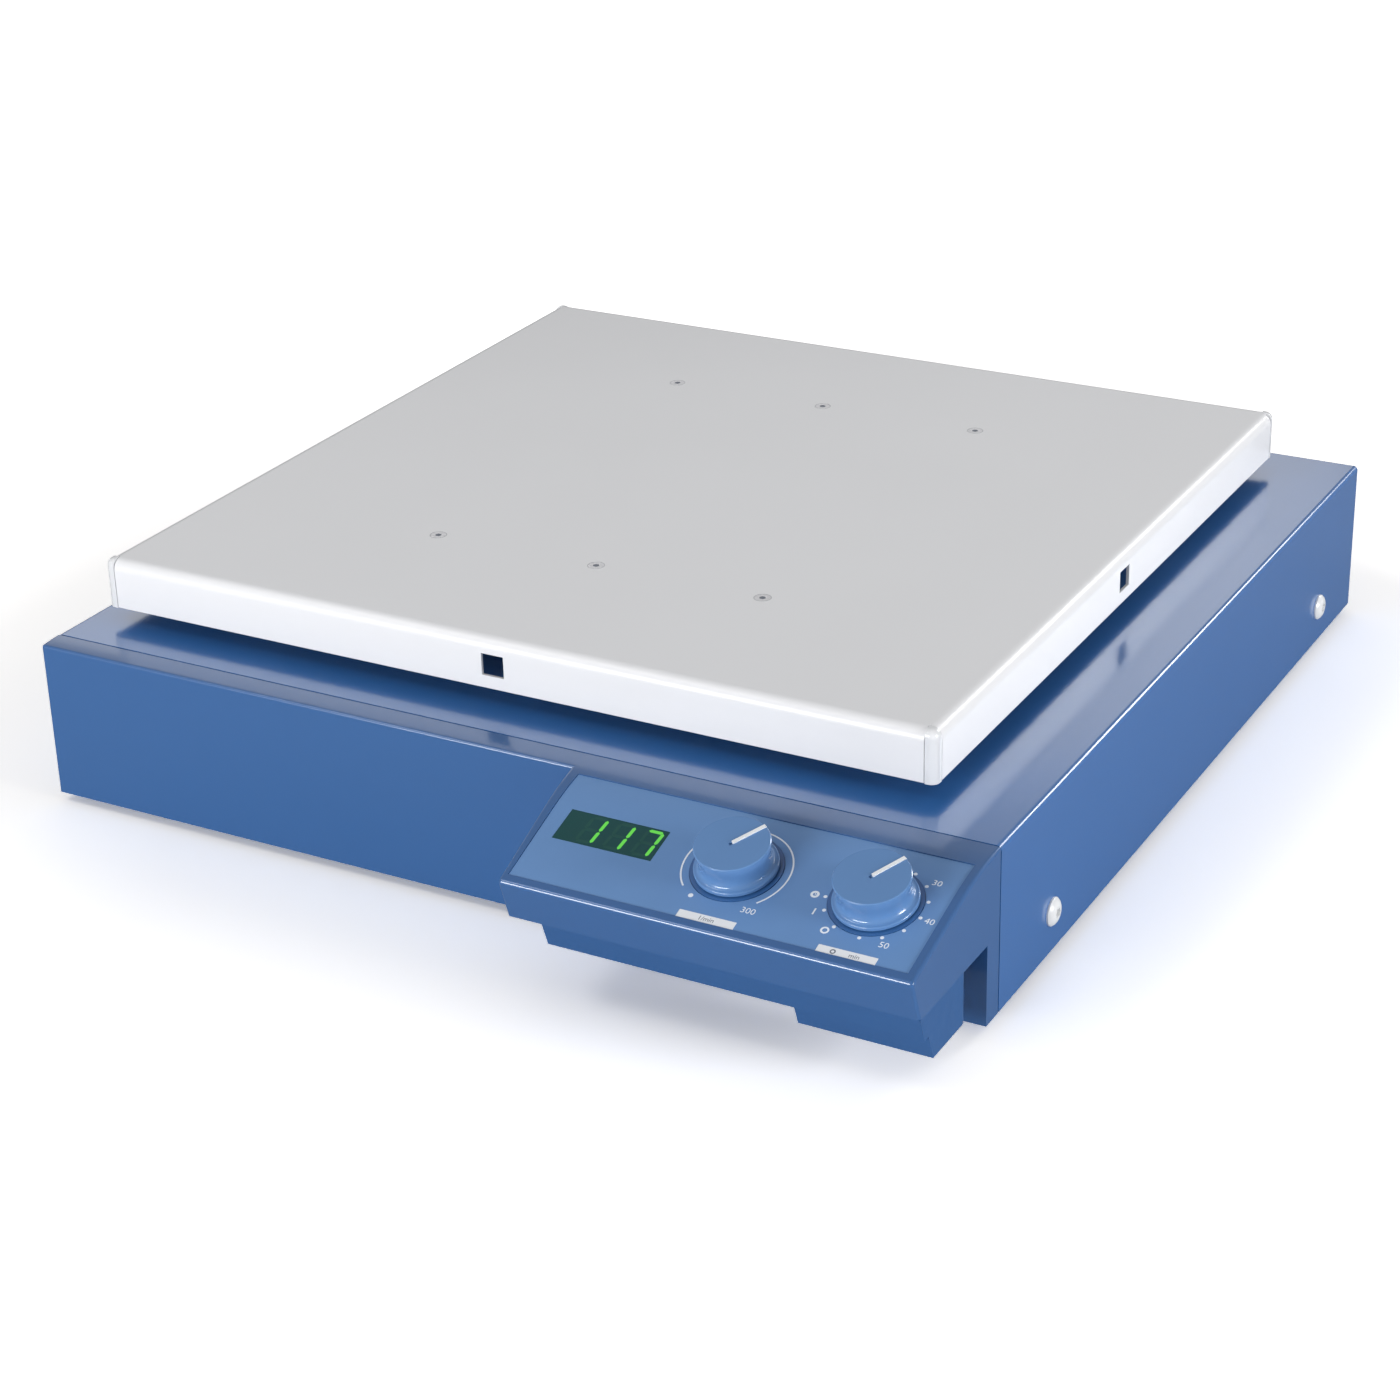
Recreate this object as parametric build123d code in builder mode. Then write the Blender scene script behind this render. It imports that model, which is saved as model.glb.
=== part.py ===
from build123d import *
from math import asin, cos, degrees, radians, sin, tan
import os

os.makedirs("parts", exist_ok=True)

# A low orbital shaker. Sizes are millimetres and degrees. Places are counted in the body frame:
# x across to the right, y towards the back, both from the middle of the body, z up from the bench.

# Painted body
BODY_WIDTH = 505.0
BODY_DEPTH = 500.0
BODY_HEIGHT = 81.3
FLOOR_GAP = 5.0
SHEET = 1.5
SHEET_BEND = 2.5
PAN_FLANGE = 30.0
PAN_CLEARANCE = 0.3
PAN_CORNER = 4.0
SEAM = 0.8

# Moulded front strip and console
MOULD_WALL = 3.0
STRIP_DEPTH = 12.5
STRIP_ROOF = 4.0
STRIP_END = 1.5
END_EDGE = 1.5
TONGUE_REACH = 9.0
TONGUE_THICKNESS = 2.0
TONGUE_CLEARANCE = 0.2
CONSOLE_REACH = 75.2
CONSOLE_WIDTH = 202.5
CONSOLE_TAPER = 6.5
PANEL_SLOPE = 16.35
PANEL_BEND = 150.0
PANEL_CREST = 15.0
LIP_EDGE = 2.0
APRON_LEAN = 20.0
PARTING_HEIGHT = 45.0
BAND_HEIGHT = 33.0
BAND_WIDTH = 179.5
BOX_HEIGHT = 20.0
BOX_WIDTH = 62.5
BOX_SETBACK = 4.0
GRIP_GAP = 18.0
BOX_CORNER = 8.0

# Printed overlay, window and dials, placed from the body's right side and by the way up the slope
OVERLAY_WIDTH = 192.9
OVERLAY_INSET = 4.5
OVERLAY_TAPER = 4.2
OVERLAY_FOOT = 5.4
OVERLAY_TOP = 73.5
OVERLAY_THICKNESS = 0.5
OVERLAY_STEP = 0.4
OVERLAY_FIT = 0.15
WINDOW_INSET = 162.1
WINDOW_S = 41.3
WINDOW_WIDTH = 49.0
WINDOW_DEPTH = 18.8
WINDOW_THICKNESS = 1.5
WINDOW_FIT = 0.1
DISPLAY_HEIGHT = 8.0
DIAL_S = 39.65
SPEED_INSET = 99.5
TIMER_INSET = 34.3
COLLAR_RADIUS = 20.5
COLLAR_FIT = 0.2

# Knobs
KNOB_TOP_RADIUS = 16.8
KNOB_WAIST_RADIUS = 15.6
KNOB_SKIRT_RADIUS = 18.6
KNOB_HEIGHT = 13.4
KNOB_LIFT = 0.6
KNOB_SKIRT_HEIGHT = 1.0
KNOB_RIM = 0.7
KNOB_WALL = 2.0
KNOB_BOSS_RADIUS = 5.5
SPEED_POINTER_ANGLE = 56.6
TIMER_POINTER_ANGLE = 58.2
POINTER_WIDTH = 1.7
POINTER_DEPTH = 0.9
POINTER_RISE = 0.5
POINTER_START = 0.4
POINTER_END = 16.6
GROOVE_START = -1.4
DIAL_SHAFT_RADIUS = 3.0
DIAL_SHAFT_IN_KNOB = 9.0
DIAL_HOLE_RADIUS = 4.5
BUSHING_RADIUS = 4.2

# Boards and controls
BOARD = 1.6
PANEL_BOARD_WIDTH = 114.0
PANEL_BOARD_INSET = 75.5
PANEL_BOARD_FOOT = 22.0
PANEL_BOARD_TOP = 60.0
PANEL_POST_RADIUS = 3.0
PANEL_POST_INSET = 4.0
POTENTIOMETER_SIDE = 17.0
TIMER_SIDE = 40.0
TIMER_DEPTH = 22.0
TIMER_SEAT_RADIUS = 8.0
TIMER_SEAT = 0.8
TIMER_TAG = 4.0
TIMER_CORNER = 5.0
POWER_BOARD_INSET = 137.5
PARTS_SETBACK = 53.0
POWER_BOARD_WIDTH = 150.0
POWER_BOARD_DEPTH = 56.0
POWER_BOARD_LIFT = 8.0
STANDOFF_RADIUS = 3.5
STANDOFF_INSET = 6.0
TRANSFORMER_X = 62.0
TRANSFORMER_WIDTH = 66.0
TRANSFORMER_DEPTH = 36.0
TRANSFORMER_HEIGHT = 55.0
COIL_OVERHANG = 9.0
COIL_CORNER = 4.0
CAPACITOR_RADIUS = 11.0
CAPACITOR_HEIGHT = 32.0
CAPACITOR_PITCH = 26.0
CAPACITOR_EDGE = 1.5
CAPACITOR_OFFSET = 40.0
HEATSINK_OFFSET = -30.0
HEATSINK_WIDTH = 60.0
HEATSINK_DEPTH = 22.0
HEATSINK_HEIGHT = 26.0
HEATSINK_WEB = 3.0
FIN = 1.6
FIN_PITCH = 9.0
FIN_COUNT = 7

# Orbit
ORBIT_RADIUS = 15.0
REST_PHASE = 156.0
RUNNING_FIT = 0.05
OPEN_PIVOT_FIT = 0.1
PRESS_FIT = 0.02

# Main bearing housing and shaft
MAIN_BORE = 25.0
MAIN_OUTER = 52.0
MAIN_WIDTH = 15.0
MAIN_SPACING = 4.0
MAIN_FOOT = 3.0
HOUSING_WALL = 8.0
HOUSING_SHOULDER = 3.0
MAIN_FLANGE_RADIUS = 54.0
MAIN_FLANGE = 8.0
MAIN_BOLT_CIRCLE = 88.0
MAIN_BOLT = 6.0
SHIELD_DEPTH = 0.6
SHIELD_RIM = 3.0
SEAT_RADIUS = 16.0
HEAD_RADIUS = 32.0
HEAD_THICKNESS = 10.0
PIN_SHOULDER_RADIUS = 12.5
HUB_BORE = 20.0
HUB_OUTER = 47.0
HUB_WIDTH = 14.0
PIN_END = 2.5

# Belt drive
PULLEY_RADIUS = 75.0
PULLEY_RATIO = 5.0
PULLEY_WEB = 5.0
PULLEY_HUB_RADIUS = 27.0
PULLEY_RIM = 7.0
PULLEY_LIFT = 1.5
WINDOW_COUNT = 6
LIGHTENING_RADIUS = 12.0
BELT_RIBS = 4
RIB_PITCH = 3.0
RIB_DEPTH = 2.0
BELT_BACK = 1.8
BELT_FIT = 0.2
PULLEY_LAND = 2.0
WEIGHT_INNER_RADIUS = 34.0
WEIGHT_OUTER_RADIUS = 92.0
WEIGHT_ARC = 150.0
WEIGHT_THICKNESS = 16.0
WEIGHT_SCREW = 6.0

# Motor
MOTOR_DISTANCE = 148.0
MOTOR_RADIUS = 42.0
MOTOR_HEIGHT = 30.0
MOTOR_EDGE = 3.0
MOTOR_BOSS_RADIUS = 13.0
MOTOR_SHAFT_RADIUS = 4.0
MOTOR_BOLT_CIRCLE = 60.0
MOTOR_SCREW = 4.0
BRACKET_SHEET = 2.5
BRACKET_HALF_WIDTH = 60.0
BRACKET_LENGTH = 100.0
BRACKET_FOOT = 14.0
BRACKET_TOP = 44.0

# Auxiliary cranks
CRANK_INSET_X = 102.5
CRANK_INSET_Y = 127.0
CRANK_BORE = 15.0
CRANK_OUTER = 32.0
CRANK_WIDTH = 9.0
CRANK_HOUSING_HEIGHT = 54.0
CRANK_HOUSING_WALL = 5.5
CRANK_FLANGE_RADIUS = 33.0
CRANK_FLANGE = 6.0
CRANK_BOLT_CIRCLE = 54.0
CRANK_BOLT = 5.0
CRANK_ARM_RADIUS = 13.0
CRANK_ARM = 12.0
CRANK_COLLAR_RADIUS = 10.0
CRANK_COLLAR = 1.5

# Table frame and tray
TRAY_WIDTH = 450.0
TRAY_DEPTH = 438.0
TRAY_SKIRT = 25.3
TRAY_GAP = 8.4
TRAY_SHEET = 1.5
TRAY_BEND = 6.0
CORNER_STRIP = 6.0
CORNER_SLIT = 0.35
CORNER_ROUND = 4.0
CORNER_DROP = 0.4
CORNER_LIP = 10.0
CLAMP_HOLE_WIDTH = 12.0
CLAMP_HOLE_HEIGHT = 11.0
CLAMP_HOLE_DROP = 13.5
TRAY_SCREW_INSET = 59.0
TRAY_SCREW = 4.0
TRAY_SCREW_HEAD = 8.4
TRAY_SCREW_LENGTH = 14.0
FRAME_HEIGHT = 20.0
FRAME_WALL = 4.0
RAIL_OVERHANG = 24.0
RAIL_WIDTH = 46.0
BEAM_WIDTH = 70.0
FRAME_BARREL_LIFT = 3.2
BEARING_COVER = 2.0
FRAME_BARREL_WALL = 6.0
SCREW_BOSS_RADIUS = 6.0

# Holes of the cover, feet, screws and mains inlet
COVER_HOLE_CLEARANCE = 6.0
COVER_COLLAR = 2.0
SIDE_SCREW_FRONT = 71.8
SIDE_SCREW_BACK = 58.2
SIDE_SCREW_HEIGHT = 25.2
SIDE_SCREW_HEAD_RADIUS = 6.8
SIDE_SCREW_HEAD = 3.0
SIDE_SCREW = 6.0
SIDE_SCREW_LENGTH = 9.0
FOOT_INSET_X = 40.5
FOOT_INSET_Y = 45.0
FOOT_RADIUS = 13.0
FOOT_TAPER = 12.0
FOOT_RECESS = 2.2
FOOT_SCREW = 4.0
FOOT_SCREW_HEAD_RADIUS = 4.5
CONSOLE_SCREW = 3.2
CONSOLE_SCREW_HEAD = 2.0
CONSOLE_SCREW_HEAD_RADIUS = 3.0
CONSOLE_POST_RADIUS = 5.0
CONSOLE_SCREW_INSETS = (167.5, 120.5, 72.5)
INLET_INSET = 77.5
INLET_HEIGHT = 42.0
INLET_PLATE_WIDTH = 50.0
INLET_PLATE_HEIGHT = 27.0
INLET_PLATE = 3.0
INLET_BODY_WIDTH = 29.0
INLET_BODY_HEIGHT = 21.0
INLET_BODY_DEPTH = 27.0
INLET_MOUTH_WIDTH = 24.6
INLET_MOUTH_HEIGHT = 16.6
INLET_MOUTH_DEPTH = 17.0
INLET_MOUTH_CORNER = 4.5
INLET_PIN_RECESS = 5.2
INLET_SCREW = 3.0
INLET_SCREW_SPACING = 40.0
VENT_COUNT = 9
VENT_WIDTH = 3.0
VENT_HEIGHT = 26.0
VENT_PITCH = 9.0
VENT_INSET = 122.5
HOLE_FIT = 0.2
HEX_HEAD = 0.65

# Levels and places that follow
HALF_WIDTH = BODY_WIDTH / 2
FRONT = -BODY_DEPTH / 2
BACK = BODY_DEPTH / 2
SEAM_Y = FRONT + STRIP_DEPTH
CREST_Y = FRONT + PANEL_CREST
SEAM_TURN = degrees(asin((PANEL_CREST - STRIP_DEPTH) / PANEL_BEND))
FRONT_TURN = degrees(asin(PANEL_CREST / PANEL_BEND))
BODY_TOP = FLOOR_GAP + BODY_HEIGHT
COVER_UNDERSIDE = BODY_TOP - SHEET
PAN_TOP = FLOOR_GAP + SHEET
TRAY_FOOT = BODY_TOP + TRAY_GAP
TRAY_TOP = TRAY_FOOT + TRAY_SKIRT
TRAY_UNDERSIDE = TRAY_TOP - TRAY_SHEET
LIP_Y = FRONT - CONSOLE_REACH
BEND_Y = CREST_Y - PANEL_BEND * sin(radians(PANEL_SLOPE))
BEND_Z = BODY_TOP - PANEL_BEND * (1 - cos(radians(PANEL_SLOPE)))
LIP_Z = BEND_Z - (BEND_Y - LIP_Y) * tan(radians(PANEL_SLOPE))
BEND_S = (BEND_Y - LIP_Y) / cos(radians(PANEL_SLOPE))
ORIGIN_Y = (CONSOLE_REACH - INLET_PLATE - INLET_SCREW / 2) / 2
ORBIT_X = ORBIT_RADIUS * cos(radians(REST_PHASE))
ORBIT_Y = ORBIT_RADIUS * sin(radians(REST_PHASE))
CONSOLE_LEFT = HALF_WIDTH - CONSOLE_WIDTH
BAND_LEFT = HALF_WIDTH - BAND_WIDTH
BOX_LEFT = HALF_WIDTH - BOX_WIDTH
OVERLAY_RIGHT = HALF_WIDTH - OVERLAY_INSET
OVERLAY_LEFT = OVERLAY_RIGHT - OVERLAY_WIDTH
WINDOW_X = HALF_WIDTH - WINDOW_INSET
SPEED_X = HALF_WIDTH - SPEED_INSET
TIMER_X = HALF_WIDTH - TIMER_INSET
PANEL_BOARD_RIGHT = HALF_WIDTH - PANEL_BOARD_INSET
PANEL_BOARD_LEFT = PANEL_BOARD_RIGHT - PANEL_BOARD_WIDTH
POWER_BOARD_X = -HALF_WIDTH + POWER_BOARD_INSET
PARTS_Y = FRONT + PARTS_SETBACK
CRANK_X = HALF_WIDTH - CRANK_INSET_X
CRANK_Y = BACK - CRANK_INSET_Y
TRAY_SCREW_X = CRANK_X - TRAY_SCREW_INSET
RAIL_LENGTH = 2 * (CRANK_X + RAIL_OVERHANG)
FOOT_X = HALF_WIDTH - FOOT_INSET_X
FOOT_Y = BACK - FOOT_INSET_Y
INLET_X = HALF_WIDTH - INLET_INSET
VENT_X = -HALF_WIDTH + VENT_INSET
PAN_WIDTH = BODY_WIDTH - 2 * (SHEET + PAN_CLEARANCE)
PAN_FRONT = FRONT + MOULD_WALL + PAN_CLEARANCE
PAN_BACK = BACK - SHEET - PAN_CLEARANCE

LOWER_BEARING = PAN_TOP + MAIN_FOOT
UPPER_BEARING = LOWER_BEARING + MAIN_WIDTH + MAIN_SPACING
HOUSING_TOP = UPPER_BEARING + MAIN_WIDTH
PULLEY_WIDTH = BELT_RIBS * RIB_PITCH + 2 * PULLEY_LAND
PULLEY_BOTTOM = HOUSING_TOP + PULLEY_LIFT
PULLEY_TOP = PULLEY_BOTTOM + PULLEY_WIDTH
HEAD_TOP = PULLEY_TOP + HEAD_THICKNESS
FRAME_BARREL_FOOT = BODY_TOP + FRAME_BARREL_LIFT
FRAME_FOOT = TRAY_UNDERSIDE - FRAME_HEIGHT
TABLE_BEARING = FRAME_BARREL_FOOT + BEARING_COVER
CRANK_HOUSING_TOP = PAN_TOP + CRANK_HOUSING_HEIGHT
CRANK_UPPER_BEARING = CRANK_HOUSING_TOP - CRANK_WIDTH
ARM_BOTTOM = CRANK_HOUSING_TOP + CRANK_COLLAR
ARM_TOP = ARM_BOTTOM + CRANK_ARM
COVER_HOLE_RADIUS = ORBIT_RADIUS + PIN_SHOULDER_RADIUS + COVER_HOLE_CLEARANCE
MOTOR_PULLEY_RADIUS = PULLEY_RADIUS / PULLEY_RATIO
DIAL_TOP = KNOB_LIFT + DIAL_SHAFT_IN_KNOB
PANEL_BOARD_FACE = -(OVERLAY_STEP + WINDOW_THICKNESS + DISPLAY_HEIGHT)
CRANKS = {
    "front_left_crank": (-CRANK_X, -CRANK_Y),
    "front_right_crank": (CRANK_X, -CRANK_Y),
    "rear_left_crank": (-CRANK_X, CRANK_Y),
    "rear_right_crank": (CRANK_X, CRANK_Y),
}
CRANK_PLACES = list(CRANKS.values())
SIDE_SCREWS = (FRONT + SIDE_SCREW_FRONT, BACK - SIDE_SCREW_BACK)


def apron_y(z):
    """How far forward the apron of the console stands at this height."""
    return LIP_Y + (LIP_Z - z) * tan(radians(APRON_LEAN))


CONSOLE_SCREW_Y = (apron_y(BAND_HEIGHT) + FRONT - GRIP_GAP) / 2
CONSOLE_SCREWS = [(HALF_WIDTH - inset, CONSOLE_SCREW_Y) for inset in CONSOLE_SCREW_INSETS]
TRAY_SCREWS = [(x, y) for x in (-TRAY_SCREW_X, 0, TRAY_SCREW_X) for y in (-CRANK_Y, CRANK_Y)]


def level(z):
    """A horizontal plane at this height, centred on the body."""
    return Plane(origin=(0, ORIGIN_Y, z), x_dir=(1, 0, 0), z_dir=(0, 0, 1))


def table_level(z):
    """A horizontal plane at this height, centred on the table where it stands at rest."""
    return Plane(origin=(ORBIT_X, ORIGIN_Y + ORBIT_Y, z), x_dir=(1, 0, 0), z_dir=(0, 0, 1))


def across(x):
    """An upright plane at this x. Its own axes are the body's y and z, and it extrudes along x."""
    return Plane(origin=(x, ORIGIN_Y, 0), x_dir=(0, 1, 0), z_dir=(1, 0, 0))


def facing_back(y):
    """An upright plane at this y that extrudes towards the back. Its own x runs to the left."""
    return Plane(origin=(0, ORIGIN_Y + y, 0), x_dir=(-1, 0, 0), z_dir=(0, 1, 0))


def panel(h):
    """The console's sloped plane, this far above its face, with its own y up the slope."""
    slope = radians(PANEL_SLOPE)
    face = Plane(origin=(0, ORIGIN_Y + LIP_Y, LIP_Z), x_dir=(1, 0, 0), z_dir=(0, -sin(slope), cos(slope)))
    return face.offset(h)


def dial(x, h=0.0):
    """The panel's plane centred on the dial at x."""
    return panel(h).shift_origin(panel(h).from_local_coords((x, DIAL_S, 0)))


def dial_section(x):
    """The plane through a dial's axis in which the knob's profile is drawn."""
    face = dial(x)
    return Plane(origin=face.origin, x_dir=face.x_dir, z_dir=-face.y_dir)


def sealed_bearing(plane, bore, outer, width):
    """A sealed ball bearing: a ring whose shields lie a little below both faces."""
    with BuildSketch(plane) as ring:
        Circle(outer / 2 - PRESS_FIT)
        Circle(bore / 2 + RUNNING_FIT, mode=Mode.SUBTRACT)
    extrude(ring.sketch, amount=width)
    with BuildSketch(plane, plane.offset(width - SHIELD_DEPTH)) as shields:
        Circle(outer / 2 - SHIELD_RIM)
        Circle(bore / 2 + SHIELD_RIM, mode=Mode.SUBTRACT)
    extrude(shields.sketch, amount=SHIELD_DEPTH, mode=Mode.SUBTRACT)


def rib_heights():
    """Heights of the belt's ribs above the pulley's lower edge."""
    return [PULLEY_LAND + RIB_PITCH * (i + 0.5) for i in range(BELT_RIBS)]


def grooved_rim(radius, inner_radius, bottom):
    """Corners of half the section of a pulley rim, with a groove for each rib of the belt."""
    points = [(inner_radius, bottom), (radius, bottom)]
    for height in rib_heights():
        points.append((radius, bottom + height - 0.4 * RIB_PITCH))
        points.append((radius - RIB_DEPTH, bottom + height - 0.1 * RIB_PITCH))
        points.append((radius - RIB_DEPTH, bottom + height + 0.1 * RIB_PITCH))
        points.append((radius, bottom + height + 0.4 * RIB_PITCH))
    points.append((radius, bottom + PULLEY_WIDTH))
    points.append((inner_radius, bottom + PULLEY_WIDTH))
    return points


def section_at(x, y):
    """The upright plane through a vertical axis, in which turned pieces are drawn."""
    return Plane(origin=(x, ORIGIN_Y + y, 0), x_dir=(1, 0, 0), z_dir=(0, -1, 0))


def axis_at(x, y):
    """A vertical axis in the body frame."""
    return Axis((x, ORIGIN_Y + y, 0), (0, 0, 1))


# Base pan: one folded sheet with a flange all round, which the feet, housings and motor stand on
with BuildPart() as base_pan:
    with BuildSketch(level(FLOOR_GAP)):
        with Locations((0, (PAN_FRONT + PAN_BACK) / 2)):
            RectangleRounded(PAN_WIDTH, PAN_BACK - PAN_FRONT, PAN_CORNER)
    extrude(amount=PAN_FLANGE)
    offset(amount=-SHEET, openings=base_pan.faces().sort_by(Axis.Z)[-1])
    with BuildSketch(level(FLOOR_GAP)):
        with GridLocations(2 * FOOT_X, 2 * FOOT_Y, 2, 2):
            Circle(FOOT_SCREW / 2 + HOLE_FIT)
        with Locations((0, MOTOR_DISTANCE)):
            with GridLocations(12, 1, 5, 1):
                SlotOverall(44, 5, rotation=90)
    extrude(amount=SHEET, mode=Mode.SUBTRACT)
    for y in SIDE_SCREWS:
        with BuildSketch(across(-HALF_WIDTH)):
            with Locations((y, SIDE_SCREW_HEIGHT)):
                Circle(SIDE_SCREW / 2 + HOLE_FIT)
        extrude(amount=BODY_WIDTH, mode=Mode.SUBTRACT)
    with BuildSketch(facing_back(PAN_BACK - SHEET)):
        with Locations((-INLET_X, INLET_HEIGHT)):
            Rectangle(INLET_BODY_WIDTH + 4 * HOLE_FIT, INLET_BODY_HEIGHT + 4 * HOLE_FIT)
    extrude(amount=SHEET, mode=Mode.SUBTRACT)
base_pan.part.label = "base_pan"
export_step(base_pan.part, "parts/base_pan.step")

# Rubber feet, each with a recess for its screw
with BuildPart() as feet:
    with BuildSketch(level(FLOOR_GAP)):
        with GridLocations(2 * FOOT_X, 2 * FOOT_Y, 2, 2):
            Circle(FOOT_RADIUS)
    extrude(amount=-FLOOR_GAP, taper=FOOT_TAPER)
    with BuildSketch(level(0)):
        with GridLocations(2 * FOOT_X, 2 * FOOT_Y, 2, 2):
            Circle(FOOT_SCREW_HEAD_RADIUS + HOLE_FIT)
    extrude(amount=FOOT_RECESS, mode=Mode.SUBTRACT)
    with BuildSketch(level(0)):
        with GridLocations(2 * FOOT_X, 2 * FOOT_Y, 2, 2):
            Circle(FOOT_SCREW / 2)
    extrude(amount=FLOOR_GAP, mode=Mode.SUBTRACT)
feet.part.label = "feet"
export_step(feet.part, "parts/feet.step")

# Foot screws, up through the feet into the pan
with BuildPart() as foot_screws:
    with BuildSketch(level(FOOT_RECESS)):
        with GridLocations(2 * FOOT_X, 2 * FOOT_Y, 2, 2):
            Circle(FOOT_SCREW_HEAD_RADIUS)
    extrude(amount=-FOOT_RECESS / 2)
    with BuildSketch(level(FOOT_RECESS)):
        with GridLocations(2 * FOOT_X, 2 * FOOT_Y, 2, 2):
            Circle(FOOT_SCREW / 2)
    extrude(amount=PAN_TOP)
foot_screws.part.label = "foot_screws"
export_step(foot_screws.part, "parts/foot_screws.step")

# Cover: folded hood, open below and at the front, with a collared hole for each crank pin
with BuildPart() as cover:
    with BuildSketch(level(FLOOR_GAP)):
        with Locations((0, (SEAM_Y + SEAM + BACK) / 2)):
            Rectangle(BODY_WIDTH, BACK - SEAM_Y - SEAM)
    extrude(amount=BODY_HEIGHT)
    folds = cover.faces().sort_by(Axis.Z)[-1].edges().sort_by(Axis.Y)[1:]
    folds += cover.edges().filter_by(Axis.Z).sort_by(Axis.Y)[-2:]
    fillet(folds, radius=SHEET_BEND)
    offset(
        amount=-SHEET,
        openings=[cover.faces().sort_by(Axis.Z)[0], cover.faces().sort_by(Axis.Y)[0]],
    )
    with BuildSketch(level(COVER_UNDERSIDE)):
        with Locations((0, 0), *CRANK_PLACES):
            Circle(COVER_HOLE_RADIUS + SHEET)
    extrude(amount=SHEET + COVER_COLLAR)
    with BuildSketch(level(COVER_UNDERSIDE)):
        with Locations((0, 0), *CRANK_PLACES):
            Circle(COVER_HOLE_RADIUS)
    extrude(amount=SHEET + COVER_COLLAR, mode=Mode.SUBTRACT)
    for y in SIDE_SCREWS:
        with BuildSketch(across(-HALF_WIDTH)):
            with Locations((y, SIDE_SCREW_HEIGHT)):
                Circle(SIDE_SCREW / 2 + HOLE_FIT)
        extrude(amount=BODY_WIDTH, mode=Mode.SUBTRACT)
    with BuildSketch(facing_back(BACK - SHEET)):
        with Locations((-INLET_X, INLET_HEIGHT)):
            Rectangle(INLET_BODY_WIDTH + 2 * HOLE_FIT, INLET_BODY_HEIGHT + 2 * HOLE_FIT)
            with GridLocations(INLET_SCREW_SPACING, 1, 2, 1):
                Circle(INLET_SCREW / 2 + HOLE_FIT)
        with Locations((-VENT_X, (PAN_TOP + PAN_FLANGE + COVER_UNDERSIDE) / 2)):
            with GridLocations(VENT_PITCH, 1, VENT_COUNT, 1):
                SlotOverall(VENT_HEIGHT, VENT_WIDTH, rotation=90)
    extrude(amount=SHEET, mode=Mode.SUBTRACT)
cover.part.label = "cover"
export_step(cover.part, "parts/cover.step")

# Cover screws: large domed heads low on both sides, with a shank through cover and pan
with BuildPart() as cover_screws:
    for side in (-1, 1):
        for y in SIDE_SCREWS:
            screw = Plane(
                origin=(side * HALF_WIDTH, ORIGIN_Y + y, SIDE_SCREW_HEIGHT),
                x_dir=(0, 1, 0),
                z_dir=(side, 0, 0),
            )
            half = Plane(origin=screw.origin, x_dir=(0, 0, 1), z_dir=(0, side, 0))
            with BuildSketch(half):
                with BuildLine():
                    Polyline(
                        (0, -SIDE_SCREW_LENGTH),
                        (SIDE_SCREW / 2, -SIDE_SCREW_LENGTH),
                        (SIDE_SCREW / 2, 0),
                        (SIDE_SCREW_HEAD_RADIUS, 0),
                        (SIDE_SCREW_HEAD_RADIUS, SIDE_SCREW_HEAD / 4),
                    )
                    ThreePointArc(
                        (SIDE_SCREW_HEAD_RADIUS, SIDE_SCREW_HEAD / 4),
                        (SIDE_SCREW_HEAD_RADIUS * 0.75, SIDE_SCREW_HEAD * 0.8),
                        (SIDE_SCREW_HEAD_RADIUS * 0.4, SIDE_SCREW_HEAD),
                    )
                    Polyline(
                        (SIDE_SCREW_HEAD_RADIUS * 0.4, SIDE_SCREW_HEAD),
                        (0, SIDE_SCREW_HEAD),
                        (0, -SIDE_SCREW_LENGTH),
                    )
                make_face()
            revolve(axis=Axis(screw.origin, screw.z_dir))
            with BuildSketch(screw.offset(SIDE_SCREW_HEAD)):
                RegularPolygon(SIDE_SCREW * 0.4, 6)
            extrude(amount=-SIDE_SCREW_HEAD / 2, mode=Mode.SUBTRACT)
cover_screws.part.label = "cover_screws"
export_step(cover_screws.part, "parts/cover_screws.step")


def panel_slab(top, bottom, gap):
    """A layer of the panel between two heights, bent over its top and tapered along its left side."""
    slope = radians(PANEL_SLOPE)
    bend = (CREST_Y, BODY_TOP - PANEL_BEND)
    bend_angle = degrees((OVERLAY_TOP + gap - BEND_S) / PANEL_BEND)
    start = 90 + PANEL_SLOPE - bend_angle
    foot_y = LIP_Y + (OVERLAY_FOOT - gap) * cos(slope)
    foot_z = LIP_Z + (OVERLAY_FOOT - gap) * sin(slope)
    upper_foot = (foot_y - top * sin(slope), foot_z + top * cos(slope))
    lower_foot = (foot_y - bottom * sin(slope), foot_z + bottom * cos(slope))
    with BuildPart() as slab:
        with BuildSketch(across(OVERLAY_LEFT - gap)):
            with BuildLine():
                upper = CenterArc(bend, PANEL_BEND + top, start, bend_angle)
                lower = CenterArc(bend, PANEL_BEND + bottom, start, bend_angle)
                Line(upper @ 1, upper_foot)
                Line(upper_foot, lower_foot)
                Line(lower_foot, lower @ 1)
                Line(lower @ 0, upper @ 0)
            make_face()
        extrude(amount=OVERLAY_RIGHT - OVERLAY_LEFT + 2 * gap)
        with BuildSketch(level(BAND_HEIGHT)):
            with BuildLine():
                Polyline(
                    (OVERLAY_LEFT - gap, CREST_Y),
                    (OVERLAY_LEFT - gap, LIP_Y),
                    (OVERLAY_LEFT - gap + OVERLAY_TAPER, LIP_Y),
                    close=True,
                )
            make_face()
        extrude(amount=BODY_TOP, mode=Mode.SUBTRACT)
    return slab.part


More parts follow.
